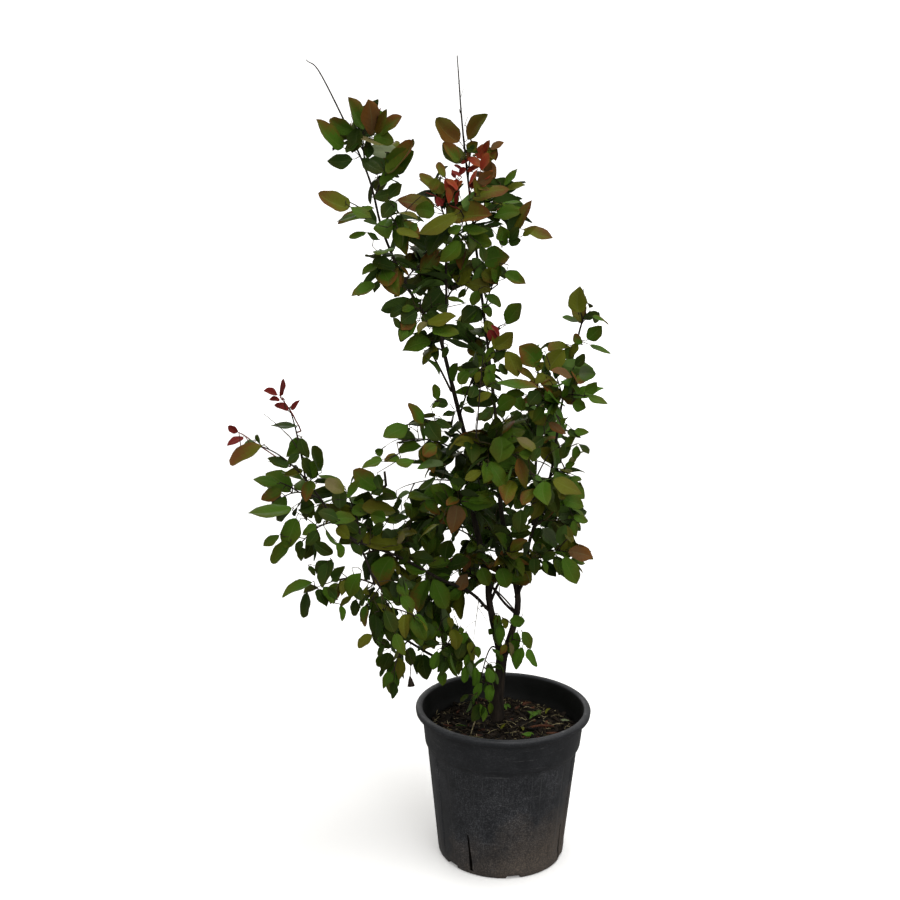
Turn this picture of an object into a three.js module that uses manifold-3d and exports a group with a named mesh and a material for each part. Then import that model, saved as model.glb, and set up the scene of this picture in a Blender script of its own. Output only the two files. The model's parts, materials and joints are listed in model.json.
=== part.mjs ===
// A potted crape myrtle: a young plant of several stems in a black nursery pot.
// Millimetres, +Z up, origin at the middle of the pot's flat underside. -Y is the front.
import * as THREE from "three";
import Module from "manifold-3d";

const wasm = await Module();
wasm.setup();

// Pot: a tapering wall, a wider collar above a step, and a rolled lip
const POT_HEIGHT = 265;
const RIM_RADIUS = 150;
const BASE_RADIUS = 109;
const BASE_ROUND = 2;
const COLLAR_BOTTOM = 199;
const COLLAR_STEP = 3.6;
const COLLAR_SHOULDER = 3;
const WALL_TOP_RADIUS = 129.9;
const LIP_WIDTH = 11;
const LIP_DEPTH = 12;
const LIP_ROUND = 4;
const WALL = 2.6;
const FLOOR = 4;
const POT_SIDES = 36;

// Shallow notches under the pot's edge leave feet between them, and slits drain its wall
const NOTCHES = 6;
const NOTCH_DEPTH = 30;
const NOTCH_WIDTH = 26;
const NOTCH_HEIGHT = 3.5;
const NOTCH_TURN = -1.41;
const SLITS = 4;
const SLIT_TOP = 62;
const SLIT_WIDTHS = [9, 3];
const SLIT_DEPTH = 16;
const SLIT_TURN = -2.03;

// Soil, and the clearance that every two pieces keep
const SOIL_TOP = 224;
const SOIL_EDGE_DROP = 5;
const SOIL_EDGE_WIDTH = 14;
const CLEAR = 0.3;

// Root flare: how much wider the trunk's foot is, how high that reaches, and its lobes
const FLARE = 0.36;
const FLARE_HEIGHT = 22;
const FLARE_LOBES = 3;
const FOOT_BELOW = 15;

// Limbs in growing order. Each is one tapering limb through a few places, foot first.
const RING_STEP = 34;
const LIMBS = [
  {
    name: "trunk", radii: [9.6, 8.2], sides: 10,
    through: [[-9, 26, SOIL_TOP - FOOT_BELOW], [-7, 32, 275], [-1, 40, 342]],
  },
  {
    name: "left_stem", radii: [7, 3.3], sides: 8,
    through: [[-2, 39, 330], [-24, 30, 433], [-30, 22, 490], [-54, 8, 598], [-48, 5, 647], [-76, -5, 755],
      [-113, -18, 901]],
  },
  {
    name: "right_stem", radii: [6.2, 0.8], sides: 8,
    through: [[1, 41, 330], [25, 50, 427], [11, 58, 502], [-8, 70, 609], [-15, 80, 730], [-45, 91, 967],
      [-76, 84, 1203], [-89, 73, 1342]],
  },
  {
    name: "upper_left_stem", radii: [3, 0.6], sides: 6,
    through: [[-113, -18, 901], [-157, -26, 965], [-201, -35, 1059], [-229, -28, 1157], [-297, -6, 1297],
      [-323, 0, 1324]],
  },
  {
    name: "middle_stem", radii: [2.5, 1.7], sides: 6,
    through: [[-109, -16, 885], [-103, -8, 949], [-104, 0, 1000], [-103, 15, 1074]],
  },
  {
    name: "right_shoot", radii: [3.6, 1.6], sides: 6,
    through: [[22, 52, 440], [38, 40, 493], [42, 28, 550], [72, 10, 664], [88, 1, 792], [113, -6, 913]],
  },
  {
    name: "rear_shoot", radii: [2.7, 1.7], sides: 6,
    through: [[46, 24, 578], [51, 60, 647], [54, 90, 729], [55, 108, 839]],
  },
  {
    name: "left_bough", radii: [4, 1.8], sides: 6,
    through: [[-26, 30, 424], [-59, 8, 463], [-110, -26, 497], [-178, -66, 547], [-253, -96, 587],
      [-299, -104, 652], [-321, -106, 684]],
  },
  {
    name: "hanging_bough", radii: [2.3, 1.6], sides: 6,
    through: [[-250, -96, 585], [-230, -104, 560], [-212, -118, 515]],
  },
  {
    name: "low_bough", radii: [3.3, 1.9], sides: 6,
    through: [[-9, 33, 279], [-71, 10, 324], [-126, -16, 361], [-163, -34, 391]],
  },
];

// Leafy masses in growing order: the limb each one leaves and how far along it, the tip of its
// stem, and how far its leaves reach from that stem. Some have smaller leaves or a higher bow.
const MASSES = [
  { on: "upper_left_stem", at: 0.6, tip: [-238, -40, 1214], reach: 72 },
  { on: "upper_left_stem", at: 0.4, tip: [-263, -70, 1111], reach: 48, leaf: 62 },
  { on: "upper_left_stem", at: 0.52, tip: [-190, 25, 1165], reach: 60 },
  { on: "upper_left_stem", at: 0.43, tip: [-166, -90, 1090], reach: 72 },
  { on: "upper_left_stem", at: 0.31, tip: [-207, -95, 1004], reach: 60 },
  { on: "upper_left_stem", at: 0.25, tip: [-130, 60, 1005], reach: 70 },
  { on: "upper_left_stem", at: 0.1, tip: [-150, -80, 945], reach: 66 },
  { on: "middle_stem", at: 1, tip: [-125, 10, 1125], reach: 72 },
  { on: "middle_stem", at: 0.83, tip: [-60, -60, 1075], reach: 72 },
  { on: "middle_stem", at: 0.38, tip: [-75, 30, 985], reach: 68 },
  { on: "left_stem", at: 0.97, tip: [-136, -60, 879], reach: 48, leaf: 58 },
  { on: "left_stem", at: 0.85, tip: [-52, -80, 846], reach: 56 },
  { on: "left_stem", at: 0.8, tip: [-130, -60, 765], reach: 58 },
  { on: "left_stem", at: 0.74, tip: [-185, -120, 741], reach: 58 },
  { on: "left_stem", at: 0.66, tip: [-190, 40, 630], reach: 72 },
  { on: "left_stem", at: 0.5, tip: [-102, -120, 640], reach: 76 },
  { on: "left_stem", at: 0.42, tip: [-138, 120, 541], reach: 78 },
  { on: "left_stem", at: 0.7, tip: [-25, -120, 740], reach: 74 },
  { on: "left_stem", at: 0.19, tip: [5, -60, 554], reach: 66 },
  { on: "right_stem", at: 0.82, tip: [-62, 65, 1216], reach: 66 },
  { on: "right_stem", at: 0.78, tip: [-14, 50, 1112], reach: 74 },
  { on: "right_stem", at: 0.69, tip: [-24, 30, 984], reach: 60 },
  { on: "right_stem", at: 0.66, tip: [0, 170, 902], reach: 58 },
  { on: "right_stem", at: 0.62, tip: [-70, 170, 884], reach: 60 },
  { on: "right_stem", at: 0.48, tip: [-25, 230, 610], reach: 80 },
  { on: "right_stem", at: 0.34, tip: [-60, 205, 495], reach: 80 },
  { on: "right_stem", at: 0.12, tip: [-85, 20, 498], reach: 72 },
  { on: "right_shoot", at: 1, tip: [121, -16, 938], reach: 56, leaf: 58 },
  { on: "right_shoot", at: 0.81, tip: [78, -60, 805], reach: 80 },
  { on: "right_shoot", at: 0.6, tip: [100, -60, 680], reach: 64 },
  { on: "right_shoot", at: 0.44, tip: [100, 80, 580], reach: 70 },
  { on: "right_shoot", at: 0.26, tip: [100, -30, 545], reach: 60 },
  { on: "right_shoot", at: 0.54, tip: [30, -130, 690], reach: 76 },
  { on: "rear_shoot", at: 0.5, tip: [62, 195, 705], reach: 78 },
  { on: "rear_shoot", at: 1, tip: [50, 125, 870], reach: 62 },
  { on: "left_bough", at: 1, tip: [-351, -70, 794], reach: 37, leaf: 46 },
  { on: "left_bough", at: 0.94, tip: [-400, -140, 744], reach: 38, leaf: 46 },
  { on: "left_bough", at: 0.82, tip: [-365, -50, 640], reach: 58 },
  { on: "left_bough", at: 0.73, tip: [-320, -155, 596], reach: 66 },
  { on: "left_bough", at: 0.62, tip: [-262, -20, 635], reach: 76 },
  { on: "left_bough", at: 0.33, tip: [-113, 30, 406], reach: 76, leaf: 62 },
  { on: "hanging_bough", at: 1, tip: [-285, -165, 530], reach: 68, leaf: 62 },
  { on: "hanging_bough", at: 0.8, tip: [-180, -130, 450], reach: 78, leaf: 62 },
  { on: "hanging_bough", at: 0.5, tip: [-180, -30, 530], reach: 78 },
  { on: "low_bough", at: 1, tip: [-184, -58, 353], reach: 60, leaf: 56 },
  { on: "low_bough", at: 0.55, tip: [-90, -60, 395], reach: 66, leaf: 58 },
  { on: "trunk", at: 0.87, tip: [-46, -45, 288], reach: 33, leaf: 44, bow: 60 },
  { on: "trunk", at: 0.95, tip: [17, -30, 393], reach: 46, leaf: 50 },
];

// The rule by which every mass grows: a bowed stem, twigs that turn round it, leaves on both
const SEED = 7001;
const STEM_RADII = [2, 1.1];
const STEM_RINGS = 4;
const STEM_BOW = 0.12;
const STEM_BARE = 0.14;
const SPACE_START = 0.3;
const TWIGS = 3;
const TWIG_RADII = [1.4, 0.9];
const TWIG_SIDES = 3;
const TWIG_LENGTH = 0.7;
const TWIG_BARE = 0.35;
const TWIG_FIRST = 0.39;
const TWIG_STEP = 0.18;
const GOLDEN_TURN = 2.4;
const LEAF_STEP = 15;
const LEAF_LENGTH = 74;
const LEAF_WIDTH = 0.66;
const LEAF_THICKNESS = 0.034;
const LEAF_WIDEST = 0.46;
const LEAF_SPREAD = 0.85;
const LEAF_SHARES = [1, 0.82, 0.66];
const LEAF_ROLLS = [0, 0.7, -0.7];
const ROOT_DEPTH = 1.6;
const SPARE = CLEAR + 0.15;
const SMOOTHING = 0.15;
const CROWN_AXIS = new THREE.Vector3(-60, 30, 0);
const CROWN_FLATTENING = 0.25;

// Colours, from the photograph
const POT_BLACK = 0x2c2e31;
const SOIL_BROWN = 0x2f241c;
const BARK_BROWN = 0x43332a;
const LEAF_GREENS = [0x35491f, 0x3f5224, 0x4a5526, 0x2f4420];

const UP = new THREE.Vector3(0, 0, 1);
const ACROSS = new THREE.Vector3(1, 0, 0);
const vector = (place) => new THREE.Vector3(...place);

// Even random numbers from 0 to 1, the same row for the same seed
function dice(seed) {
  let state = seed >>> 0;
  return () => {
    state = (state + 0x6d2b79f5) >>> 0;
    let mixed = Math.imul(state ^ (state >>> 15), state | 1);
    mixed = (mixed + Math.imul(mixed ^ (mixed >>> 7), mixed | 61)) ^ mixed;
    return ((mixed ^ (mixed >>> 14)) >>> 0) / 4294967296;
  };
}

// A random lean: a vector from the middle of a cube with sides of 1
function lean(draw) {
  return new THREE.Vector3(draw() - 0.5, draw() - 0.5, draw() - 0.5);
}

// A solid from points and triangles
function solid(points, triangles) {
  const vertProperties = new Float32Array(points.flatMap((point) => point.toArray()));
  const triVerts = new Uint32Array(triangles.flat());
  return new wasm.Manifold(new wasm.Mesh({ numProp: 3, vertProperties, triVerts }));
}

// The three.js geometry of a solid
function geometryOf(body) {
  const mesh = body.getMesh();
  const geometry = new THREE.BufferGeometry();
  geometry.setAttribute("position", new THREE.BufferAttribute(new Float32Array(mesh.vertProperties), 3));
  geometry.setIndex(new THREE.BufferAttribute(new Uint32Array(mesh.triVerts), 1));
  geometry.computeVertexNormals();
  return geometry;
}

// Triangles of a closed skin over rings of points, with a fan in the first ring and the last
function skin(rings, sides) {
  const triangles = [];
  for (let ring = 0; ring < rings - 1; ring += 1) {
    for (let side = 0; side < sides; side += 1) {
      const next = (side + 1) % sides;
      const low = ring * sides;
      const high = low + sides;
      triangles.push([low + side, low + next, high + next], [low + side, high + next, high + side]);
    }
  }
  const top = (rings - 1) * sides;
  for (let side = 1; side < sides - 1; side += 1) {
    triangles.push([0, side + 1, side], [top, top + side, top + side + 1]);
  }
  return triangles;
}

// A tapering tube along places; widen says how much fatter it is at a place and an angle
function tube(places, radii, sides, widen = () => 1) {
  const points = [];
  const last = places.length - 1;
  const start = places[1].clone().sub(places[0]).normalize();
  let across = Math.abs(start.x) > 0.9 ? new THREE.Vector3(0, 1, 0) : ACROSS;
  places.forEach((place, ring) => {
    const ahead = places[Math.min(ring + 1, last)];
    const behind = places[Math.max(ring - 1, 0)];
    const along = ahead.clone().sub(behind).normalize();
    across = across.clone().addScaledVector(along, -along.dot(across)).normalize();
    const beside = along.clone().cross(across);
    for (let side = 0; side < sides; side += 1) {
      const angle = 2 * Math.PI * side / sides;
      const radius = THREE.MathUtils.lerp(radii[0], radii[1], ring / last) * widen(place, angle);
      const outward = across.clone().multiplyScalar(Math.cos(angle)).addScaledVector(beside, Math.sin(angle));
      points.push(place.clone().addScaledVector(outward, radius));
    }
  });
  return solid(points, skin(places.length, sides));
}

// The same tube with its surface moved out by the clearance, its ends too
function grownTube(places, radii, sides, widen) {
  const last = places.length - 1;
  const extra = CLEAR / Math.cos(Math.PI / sides);
  const longer = places.map((place) => place.clone());
  longer[0].add(places[0].clone().sub(places[1]).setLength(CLEAR));
  longer[last].add(places[last].clone().sub(places[last - 1]).setLength(CLEAR));
  return tube(longer, radii.map((radius) => radius + extra), sides, widen);
}

// The main body of what is left after cuts, without loose scraps
function largest(body) {
  return body.decompose().sort((one, other) => other.volume() - one.volume())[0];
}

// A solid turned round the upright axis from a profile of radius and height
function turned(profile, sides) {
  const points = profile.flatMap(([radius, height]) => (
    Array.from({ length: sides }, (_, side) => {
      const angle = 2 * Math.PI * side / sides;
      return new THREE.Vector3(radius * Math.cos(angle), radius * Math.sin(angle), height);
    })
  ));
  return solid(points, skin(profile.length, sides));
}

// Inner radii of the pot: at its floor, and under and over the step
const INNER_FLOOR = BASE_RADIUS - WALL;
const INNER_STEP = WALL_TOP_RADIUS - WALL;
const INNER_COLLAR = INNER_STEP + COLLAR_STEP;

// From the underside up the outside, over the lip and down the inside to the floor
function makePot() {
  const lipBottom = POT_HEIGHT - LIP_DEPTH;
  const neck = RIM_RADIUS - LIP_WIDTH;
  const inside = neck - 1;
  const profile = [
    [BASE_RADIUS - BASE_ROUND, 0],
    [BASE_RADIUS, BASE_ROUND],
    [WALL_TOP_RADIUS, COLLAR_BOTTOM],
    [WALL_TOP_RADIUS + COLLAR_STEP, COLLAR_BOTTOM + COLLAR_SHOULDER],
    [neck, lipBottom - 1],
    [RIM_RADIUS - LIP_ROUND / 2, lipBottom],
    [RIM_RADIUS, lipBottom + LIP_ROUND],
    [RIM_RADIUS, POT_HEIGHT - LIP_ROUND],
    [RIM_RADIUS - LIP_ROUND, POT_HEIGHT],
    [inside + LIP_ROUND, POT_HEIGHT],
    [inside, POT_HEIGHT - LIP_ROUND],
    [INNER_COLLAR, COLLAR_BOTTOM + COLLAR_SHOULDER],
    [INNER_STEP, COLLAR_BOTTOM],
    [INNER_FLOOR, FLOOR],
  ];
  let pot = turned(profile, POT_SIDES);
  for (let notch = 0; notch < NOTCHES; notch += 1) {
    const turn = NOTCH_TURN + 2 * Math.PI * notch / NOTCHES;
    pot = pot.subtract(block(turn, BASE_RADIUS, NOTCH_DEPTH, [NOTCH_WIDTH, NOTCH_WIDTH], -1, NOTCH_HEIGHT));
  }
  for (let slit = 0; slit < SLITS; slit += 1) {
    const turn = SLIT_TURN + 2 * Math.PI * slit / SLITS;
    pot = pot.subtract(block(turn, BASE_RADIUS + WALL, SLIT_DEPTH, SLIT_WIDTHS, FLOOR + WALL, SLIT_TOP));
  }
  return pot;
}

// A block across the pot's wall at a turn and a radius, with its own width below and above
function block(turn, radius, depth, widths, bottom, top) {
  const points = [[bottom, widths[0]], [top, widths[1]]].flatMap(([height, width]) => (
    [[-1, -1], [1, -1], [1, 1], [-1, 1]].map(([out, side]) => (
      new THREE.Vector3(radius + out * depth / 2, side * width / 2, height).applyAxisAngle(UP, turn)
    ))
  ));
  return solid(points, skin(2, 4));
}

// Soil fills the pot, a little lower round its edge
function makeSoil() {
  const space = 2 * CLEAR;
  return turned([
    [INNER_FLOOR - space, FLOOR + CLEAR],
    [INNER_STEP - space, COLLAR_BOTTOM],
    [INNER_COLLAR - space, COLLAR_BOTTOM + COLLAR_SHOULDER],
    [INNER_COLLAR - space, SOIL_TOP - SOIL_EDGE_DROP],
    [INNER_COLLAR - SOIL_EDGE_WIDTH, SOIL_TOP],
  ], POT_SIDES);
}

// How much the root flare widens the trunk at a place and an angle
function flare(place, angle) {
  const height = Math.max(0, place.z - SOIL_TOP);
  const lobes = 0.75 + 0.25 * Math.cos(FLARE_LOBES * angle);
  return 1 + FLARE * lobes * Math.exp(-height / FLARE_HEIGHT);
}

// Each limb is cut clear of the ones before it, so that it meets its parent with a fine gap
function makeLimbs() {
  const limbs = new Map();
  for (const { name, radii, sides, through } of LIMBS) {
    const curve = new THREE.CatmullRomCurve3(through.map(vector), false, "catmullrom", 0.5);
    const places = curve.getPoints(Math.max(4, Math.round(curve.getLength() / RING_STEP)));
    const widen = name === "trunk" ? flare : undefined;
    const grown = grownTube(places, radii, sides, widen);
    let body = tube(places, radii, sides, widen);
    body = body.subtract(block(0, 0, RIM_RADIUS, [RIM_RADIUS, RIM_RADIUS], 0, SOIL_TOP + CLEAR));
    for (const other of limbs.values()) {
      body = body.subtract(other.grown);
    }
    limbs.set(name, { name, curve, grown, box: boxOf(grown), body: largest(body) });
  }
  return limbs;
}

// A leaf as a thin solid of four faces: a keel from root to tip under a line from side to side
function makeLeaf(root, along, face, length, spare = 0) {
  const side = face.clone().cross(along).normalize();
  const up = along.clone().cross(side).normalize();
  const half = length * LEAF_WIDTH / 2 + spare;
  const raised = length * LEAF_THICKNESS + spare;
  const middle = root.clone().addScaledVector(along, length * LEAF_WIDEST).addScaledVector(up, raised);
  const points = [
    root.clone().addScaledVector(along, -ROOT_DEPTH - spare).addScaledVector(up, -spare),
    middle.clone().addScaledVector(side, half),
    middle.clone().addScaledVector(side, -half),
    root.clone().addScaledVector(along, length + spare).addScaledVector(up, -spare),
  ];
  return { points, body: solid(points, [[0, 2, 1], [2, 3, 1], [0, 1, 3], [0, 3, 2]]) };
}

// Boxes round solids, so that only near ones are tested against each other
function boxOf(body) {
  const { min, max } = body.boundingBox();
  return new THREE.Box3(vector(min), vector(max));
}

function touches(piece, others) {
  const near = others.filter((other) => other.box.intersectsBox(piece.box));
  return near.some((other) => !piece.grown.intersect(other.grown).isEmpty());
}

// The space of a mass is all that lies within its reach of the line along its stem
function insideSpace(mass, point) {
  const nearest = mass.axis.closestPointToPoint(point, true, new THREE.Vector3());
  return nearest.distanceTo(point) <= mass.reach;
}

// Everything in a list that belongs to the limbs or to the other masses
function otherPieces(mass, masses, limbs) {
  const strangers = masses.filter((other) => other !== mass);
  return [...limbs.values(), ...strangers.flatMap((other) => [...other.shoots, ...other.leaves])];
}

// A shoot: the stem of a mass or one of its twigs
function makeShoot(curve, rings, radii, bare) {
  const places = curve.getPoints(rings);
  const grown = grownTube(places, radii, TWIG_SIDES);
  return { curve, bare, body: tube(places, radii, TWIG_SIDES), grown, box: boxOf(grown) };
}

// Each stem runs from the middle of its limb to its tip, bowed upward
function makeStems(limbs) {
  const counts = {};
  return MASSES.map((row, index) => {
    const limb = limbs.get(row.on);
    const root = limb.curve.getPoint(row.at);
    const tip = vector(row.tip);
    const bow = row.bow ?? STEM_BOW * root.distanceTo(tip);
    const middle = root.clone().lerp(tip, 0.5).addScaledVector(UP, 2 * bow);
    const curve = new THREE.QuadraticBezierCurve3(root, middle, tip);
    counts[row.on] = (counts[row.on] ?? 0) + 1;
    return {
      ...row,
      index,
      name: `${row.on}_foliage_${counts[row.on]}`,
      axis: new THREE.Line3(curve.getPoint(SPACE_START), tip),
      shoots: [makeShoot(curve, STEM_RINGS, STEM_RADII, STEM_BARE)],
      leaves: [],
    };
  });
}

// Twigs turn round the stem and rise a little; one that would touch something is left out
function growTwigs(mass, others) {
  const draw = dice(SEED + 100 * mass.index);
  const stem = mass.shoots[0].curve;
  for (let twig = 0; twig < TWIGS; twig += 1) {
    const share = TWIG_FIRST + TWIG_STEP * twig;
    const turn = GOLDEN_TURN * (twig + mass.index) + 0.8 * draw();
    const length = mass.reach * TWIG_LENGTH * (0.75 + 0.4 * draw());
    const along = stem.getTangent(share);
    const beside = along.clone().cross(Math.abs(along.z) > 0.9 ? ACROSS : UP).normalize();
    const heading = beside.applyAxisAngle(along, turn).multiplyScalar(0.85);
    heading.addScaledVector(along, 0.65).addScaledVector(UP, 0.2).normalize();
    const root = stem.getPoint(share);
    const tip = root.clone().addScaledVector(heading, length);
    const shoot = makeShoot(new THREE.LineCurve3(root, tip), 1, TWIG_RADII, TWIG_BARE);
    if (insideSpace(mass, tip) && !touches(shoot, others)) {
      mass.shoots.push(shoot);
    }
  }
}

// The way that the leaves of one shoot face: up, and out to the plant's broad sides
function sprayFace(mass, shoot, number) {
  const outward = shoot.curve.getPoint(0.5).sub(CROWN_AXIS).setZ(0);
  outward.x *= CROWN_FLATTENING;
  const face = UP.clone().multiplyScalar(0.5).addScaledVector(outward.normalize(), 0.8);
  return face.addScaledVector(lean(dice(SEED + 977 * mass.index + 31 * number)), 1.4).normalize();
}

// Leaves stand in two rows along each shoot, with one at its tip
function growLeaves(mass, others) {
  mass.shoots.forEach((shoot, number) => {
    const spray = sprayFace(mass, shoot, number);
    const nodes = Math.max(1, Math.round(shoot.curve.getLength() * (1 - shoot.bare) / LEAF_STEP));
    for (let node = 0; node <= nodes; node += 1) {
      const draw = dice(SEED + 100 * mass.index + 10007 * (number + 1) + 131 * node);
      const share = shoot.bare + (1 - shoot.bare) * node / nodes;
      const ahead = shoot.curve.getTangent(share);
      const face = spray.clone().addScaledVector(lean(draw), 0.8).normalize();
      const hand = node % 2 === 0 ? 1 : -1;
      const spread = node === nodes ? 0.15 : LEAF_SPREAD;
      const side = face.clone().cross(ahead).normalize();
      const along = ahead.multiplyScalar(0.6).addScaledVector(side, hand * spread);
      along.addScaledVector(UP, -0.2 * draw()).normalize();
      const size = (mass.leaf ?? LEAF_LENGTH) * (0.85 + 0.3 * draw());
      addLeaf(mass, others, { root: shoot.curve.getPoint(share), along, face, size });
    }
  });
}

// A leaf that would leave the space or touch something is rolled or shortened, or else left out
function addLeaf(mass, others, { root, along, face, size }) {
  for (const share of LEAF_SHARES) {
    for (const roll of LEAF_ROLLS) {
      const rolled = face.clone().applyAxisAngle(along, roll);
      const { points, body } = makeLeaf(root, along, rolled, size * share, SPARE);
      const leaf = { grown: body, box: boxOf(body) };
      const inside = points.every((point) => insideSpace(mass, point));
      if (inside && !touches(leaf, others) && !touches(leaf, mass.leaves)) {
        mass.leaves.push({ ...leaf, body: makeLeaf(root, along, rolled, size * share).body });
        return;
      }
    }
  }
}

// A mass is its shoots and leaves in one piece, cut clear of the limbs
function fuse(mass, limbs) {
  const bodies = [...mass.shoots, ...mass.leaves].map((piece) => piece.body);
  const joined = bodies.reduce((all, body) => all.add(body));
  const clear = [...limbs.values()].reduce((rest, limb) => rest.subtract(limb.grown), joined);
  return largest(clear.asOriginal().simplify(SMOOTHING));
}

function makeMasses(limbs) {
  const masses = makeStems(limbs);
  for (const mass of masses) {
    growTwigs(mass, otherPieces(mass, masses, limbs));
  }
  for (const mass of masses) {
    growLeaves(mass, otherPieces(mass, masses, limbs));
  }
  return masses;
}

// Assembly
const plant = new THREE.Group();

function addNode(name, body, color, roughness) {
  const material = new THREE.MeshStandardMaterial({ color, roughness, metalness: 0 });
  const mesh = new THREE.Mesh(geometryOf(body), material);
  mesh.name = name;
  plant.add(mesh);
}

const limbs = makeLimbs();
addNode("pot", makePot(), POT_BLACK, 0.55);
addNode("soil", makeSoil(), SOIL_BROWN, 0.95);
limbs.forEach((limb) => addNode(limb.name, limb.body, BARK_BROWN, 0.85));
for (const mass of makeMasses(limbs)) {
  addNode(mass.name, fuse(mass, limbs), LEAF_GREENS[mass.index % LEAF_GREENS.length], 0.5);
}

export default plant;
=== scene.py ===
# The looks of a potted crape myrtle: bark, twigs, leaves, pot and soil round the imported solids.
# Sizes are in millimetres in the part's own frame, and become metres as each mesh is made.
import json
import math

import bpy
import numpy as np
from mathutils import Matrix, Quaternion, Vector, kdtree, noise

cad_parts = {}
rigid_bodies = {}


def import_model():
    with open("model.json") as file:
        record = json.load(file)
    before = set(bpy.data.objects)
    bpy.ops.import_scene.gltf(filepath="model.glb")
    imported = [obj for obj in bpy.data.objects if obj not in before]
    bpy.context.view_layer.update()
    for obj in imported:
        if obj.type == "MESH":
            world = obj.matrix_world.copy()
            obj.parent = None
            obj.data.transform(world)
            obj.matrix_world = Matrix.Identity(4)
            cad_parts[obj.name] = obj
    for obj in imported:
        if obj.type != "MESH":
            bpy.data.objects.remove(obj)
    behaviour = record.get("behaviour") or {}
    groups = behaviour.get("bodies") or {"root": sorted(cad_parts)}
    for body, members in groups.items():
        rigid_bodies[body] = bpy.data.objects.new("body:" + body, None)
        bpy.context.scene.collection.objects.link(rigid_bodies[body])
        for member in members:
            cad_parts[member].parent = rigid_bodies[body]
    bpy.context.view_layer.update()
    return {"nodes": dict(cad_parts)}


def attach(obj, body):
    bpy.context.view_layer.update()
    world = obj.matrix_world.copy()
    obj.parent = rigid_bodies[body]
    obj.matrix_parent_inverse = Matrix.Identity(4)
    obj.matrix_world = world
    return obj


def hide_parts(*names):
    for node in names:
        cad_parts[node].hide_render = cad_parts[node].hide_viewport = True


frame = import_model()

MM = 0.001
UP = Vector((0, 0, 1))
ACROSS = Vector((1, 0, 0))

# The camera that took the photo, fitted to the pot's rim, collar and base
PHOTO_SIDE = 900
CAMERA_PLACE = Vector((-95, -1900, 1083))
CAMERA_DOWN = math.radians(11.1)
CAMERA_ROLL = math.radians(-0.49)
FOCAL_PIXELS = 1174.4
SENSOR_WIDTH = 36

# The pot and the soil, as the solids have them
POT_HEIGHT = 265
RIM_RADIUS = 150
BASE_RADIUS = 109
COLLAR_BOTTOM = 199
COLLAR_STEP = 3.6
COLLAR_SHOULDER = 3
WALL_TOP_RADIUS = 129.9
LIP_WIDTH = 11
LIP_DEPTH = 12
WALL = 2.6
FLOOR = 4
SLITS = 4
SLIT_TOP = 74
SLIT_WIDTHS = (6.5, 2.6)
SLIT_LEAN = 5
SLIT_DEPTH = 16
SLIT_TURN = -2.075
NOTCHES = 6
NOTCH_WIDTH = 26
NOTCH_DEPTH = 30
NOTCH_LIFT = 6.5
NOTCH_TURN = -1.41
SOIL_TOP = 224
SOIL_EDGE_DROP = 5
CLEAR = 0.3

# The trunk's root flare
FLARE = 0.36
FLARE_HEIGHT = 22
FLARE_LOBES = 3

# Limbs: radii at foot and tip, sides of the bark mesh, and the places that each runs through
LIMBS = {
    "trunk": ((10, 9.4), 28, ((-9, 26, 209), (-7, 32, 275), (-1, 40, 342))),
    "left_stem": ((6.4, 3.2), 22, (
        (-2, 39, 330), (-24, 30, 433), (-30, 22, 490), (-54, 8, 598), (-48, 5, 647), (-76, -5, 755),
        (-113, -18, 901))),
    "right_stem": ((6.2, 0.8), 20, (
        (1, 41, 330), (25, 50, 427), (11, 58, 502), (-8, 70, 609), (-15, 80, 730), (-45, 91, 967),
        (-76, 84, 1203), (-89, 73, 1342))),
    "upper_left_stem": ((3, 0.6), 14, (
        (-113, -18, 901), (-157, -26, 965), (-201, -35, 1059), (-229, -28, 1157), (-297, -6, 1297),
        (-323, 0, 1324))),
    "middle_stem": ((2.5, 1.7), 12, ((-109, -16, 885), (-103, -8, 949), (-104, 0, 1000), (-103, 15, 1074))),
    "right_shoot": ((3.6, 1.6), 16, (
        (22, 52, 440), (38, 40, 493), (42, 28, 550), (72, 10, 664), (88, 1, 792), (113, -6, 913))),
    "rear_shoot": ((2.7, 1.7), 12, ((46, 24, 578), (51, 60, 647), (54, 90, 729), (55, 108, 839))),
    "left_bough": ((2.9, 1.4), 16, (
        (-26, 30, 424), (-59, 8, 463), (-110, -26, 497), (-178, -66, 547), (-253, -96, 587),
        (-299, -104, 652), (-321, -106, 684))),
    "hanging_bough": ((2.3, 1.6), 12, ((-250, -96, 585), (-230, -104, 560), (-212, -118, 515))),
    "low_bough": ((3.3, 1.9), 14, ((-9, 33, 279), (-71, 10, 324), (-126, -16, 361), (-163, -34, 391))),
}

# Thin branches that cross between the two main stems: radii and places
CROSSING = (
    ((2.7, 1.8), ((22, 49, 411), (0, 60, 430), (-24, 54, 465), (-42, 45, 491))),
    ((2.7, 1.8), ((-24, 30, 436), (-12, 10, 476), (4, -8, 511), (19, -22, 542))),
)

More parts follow.
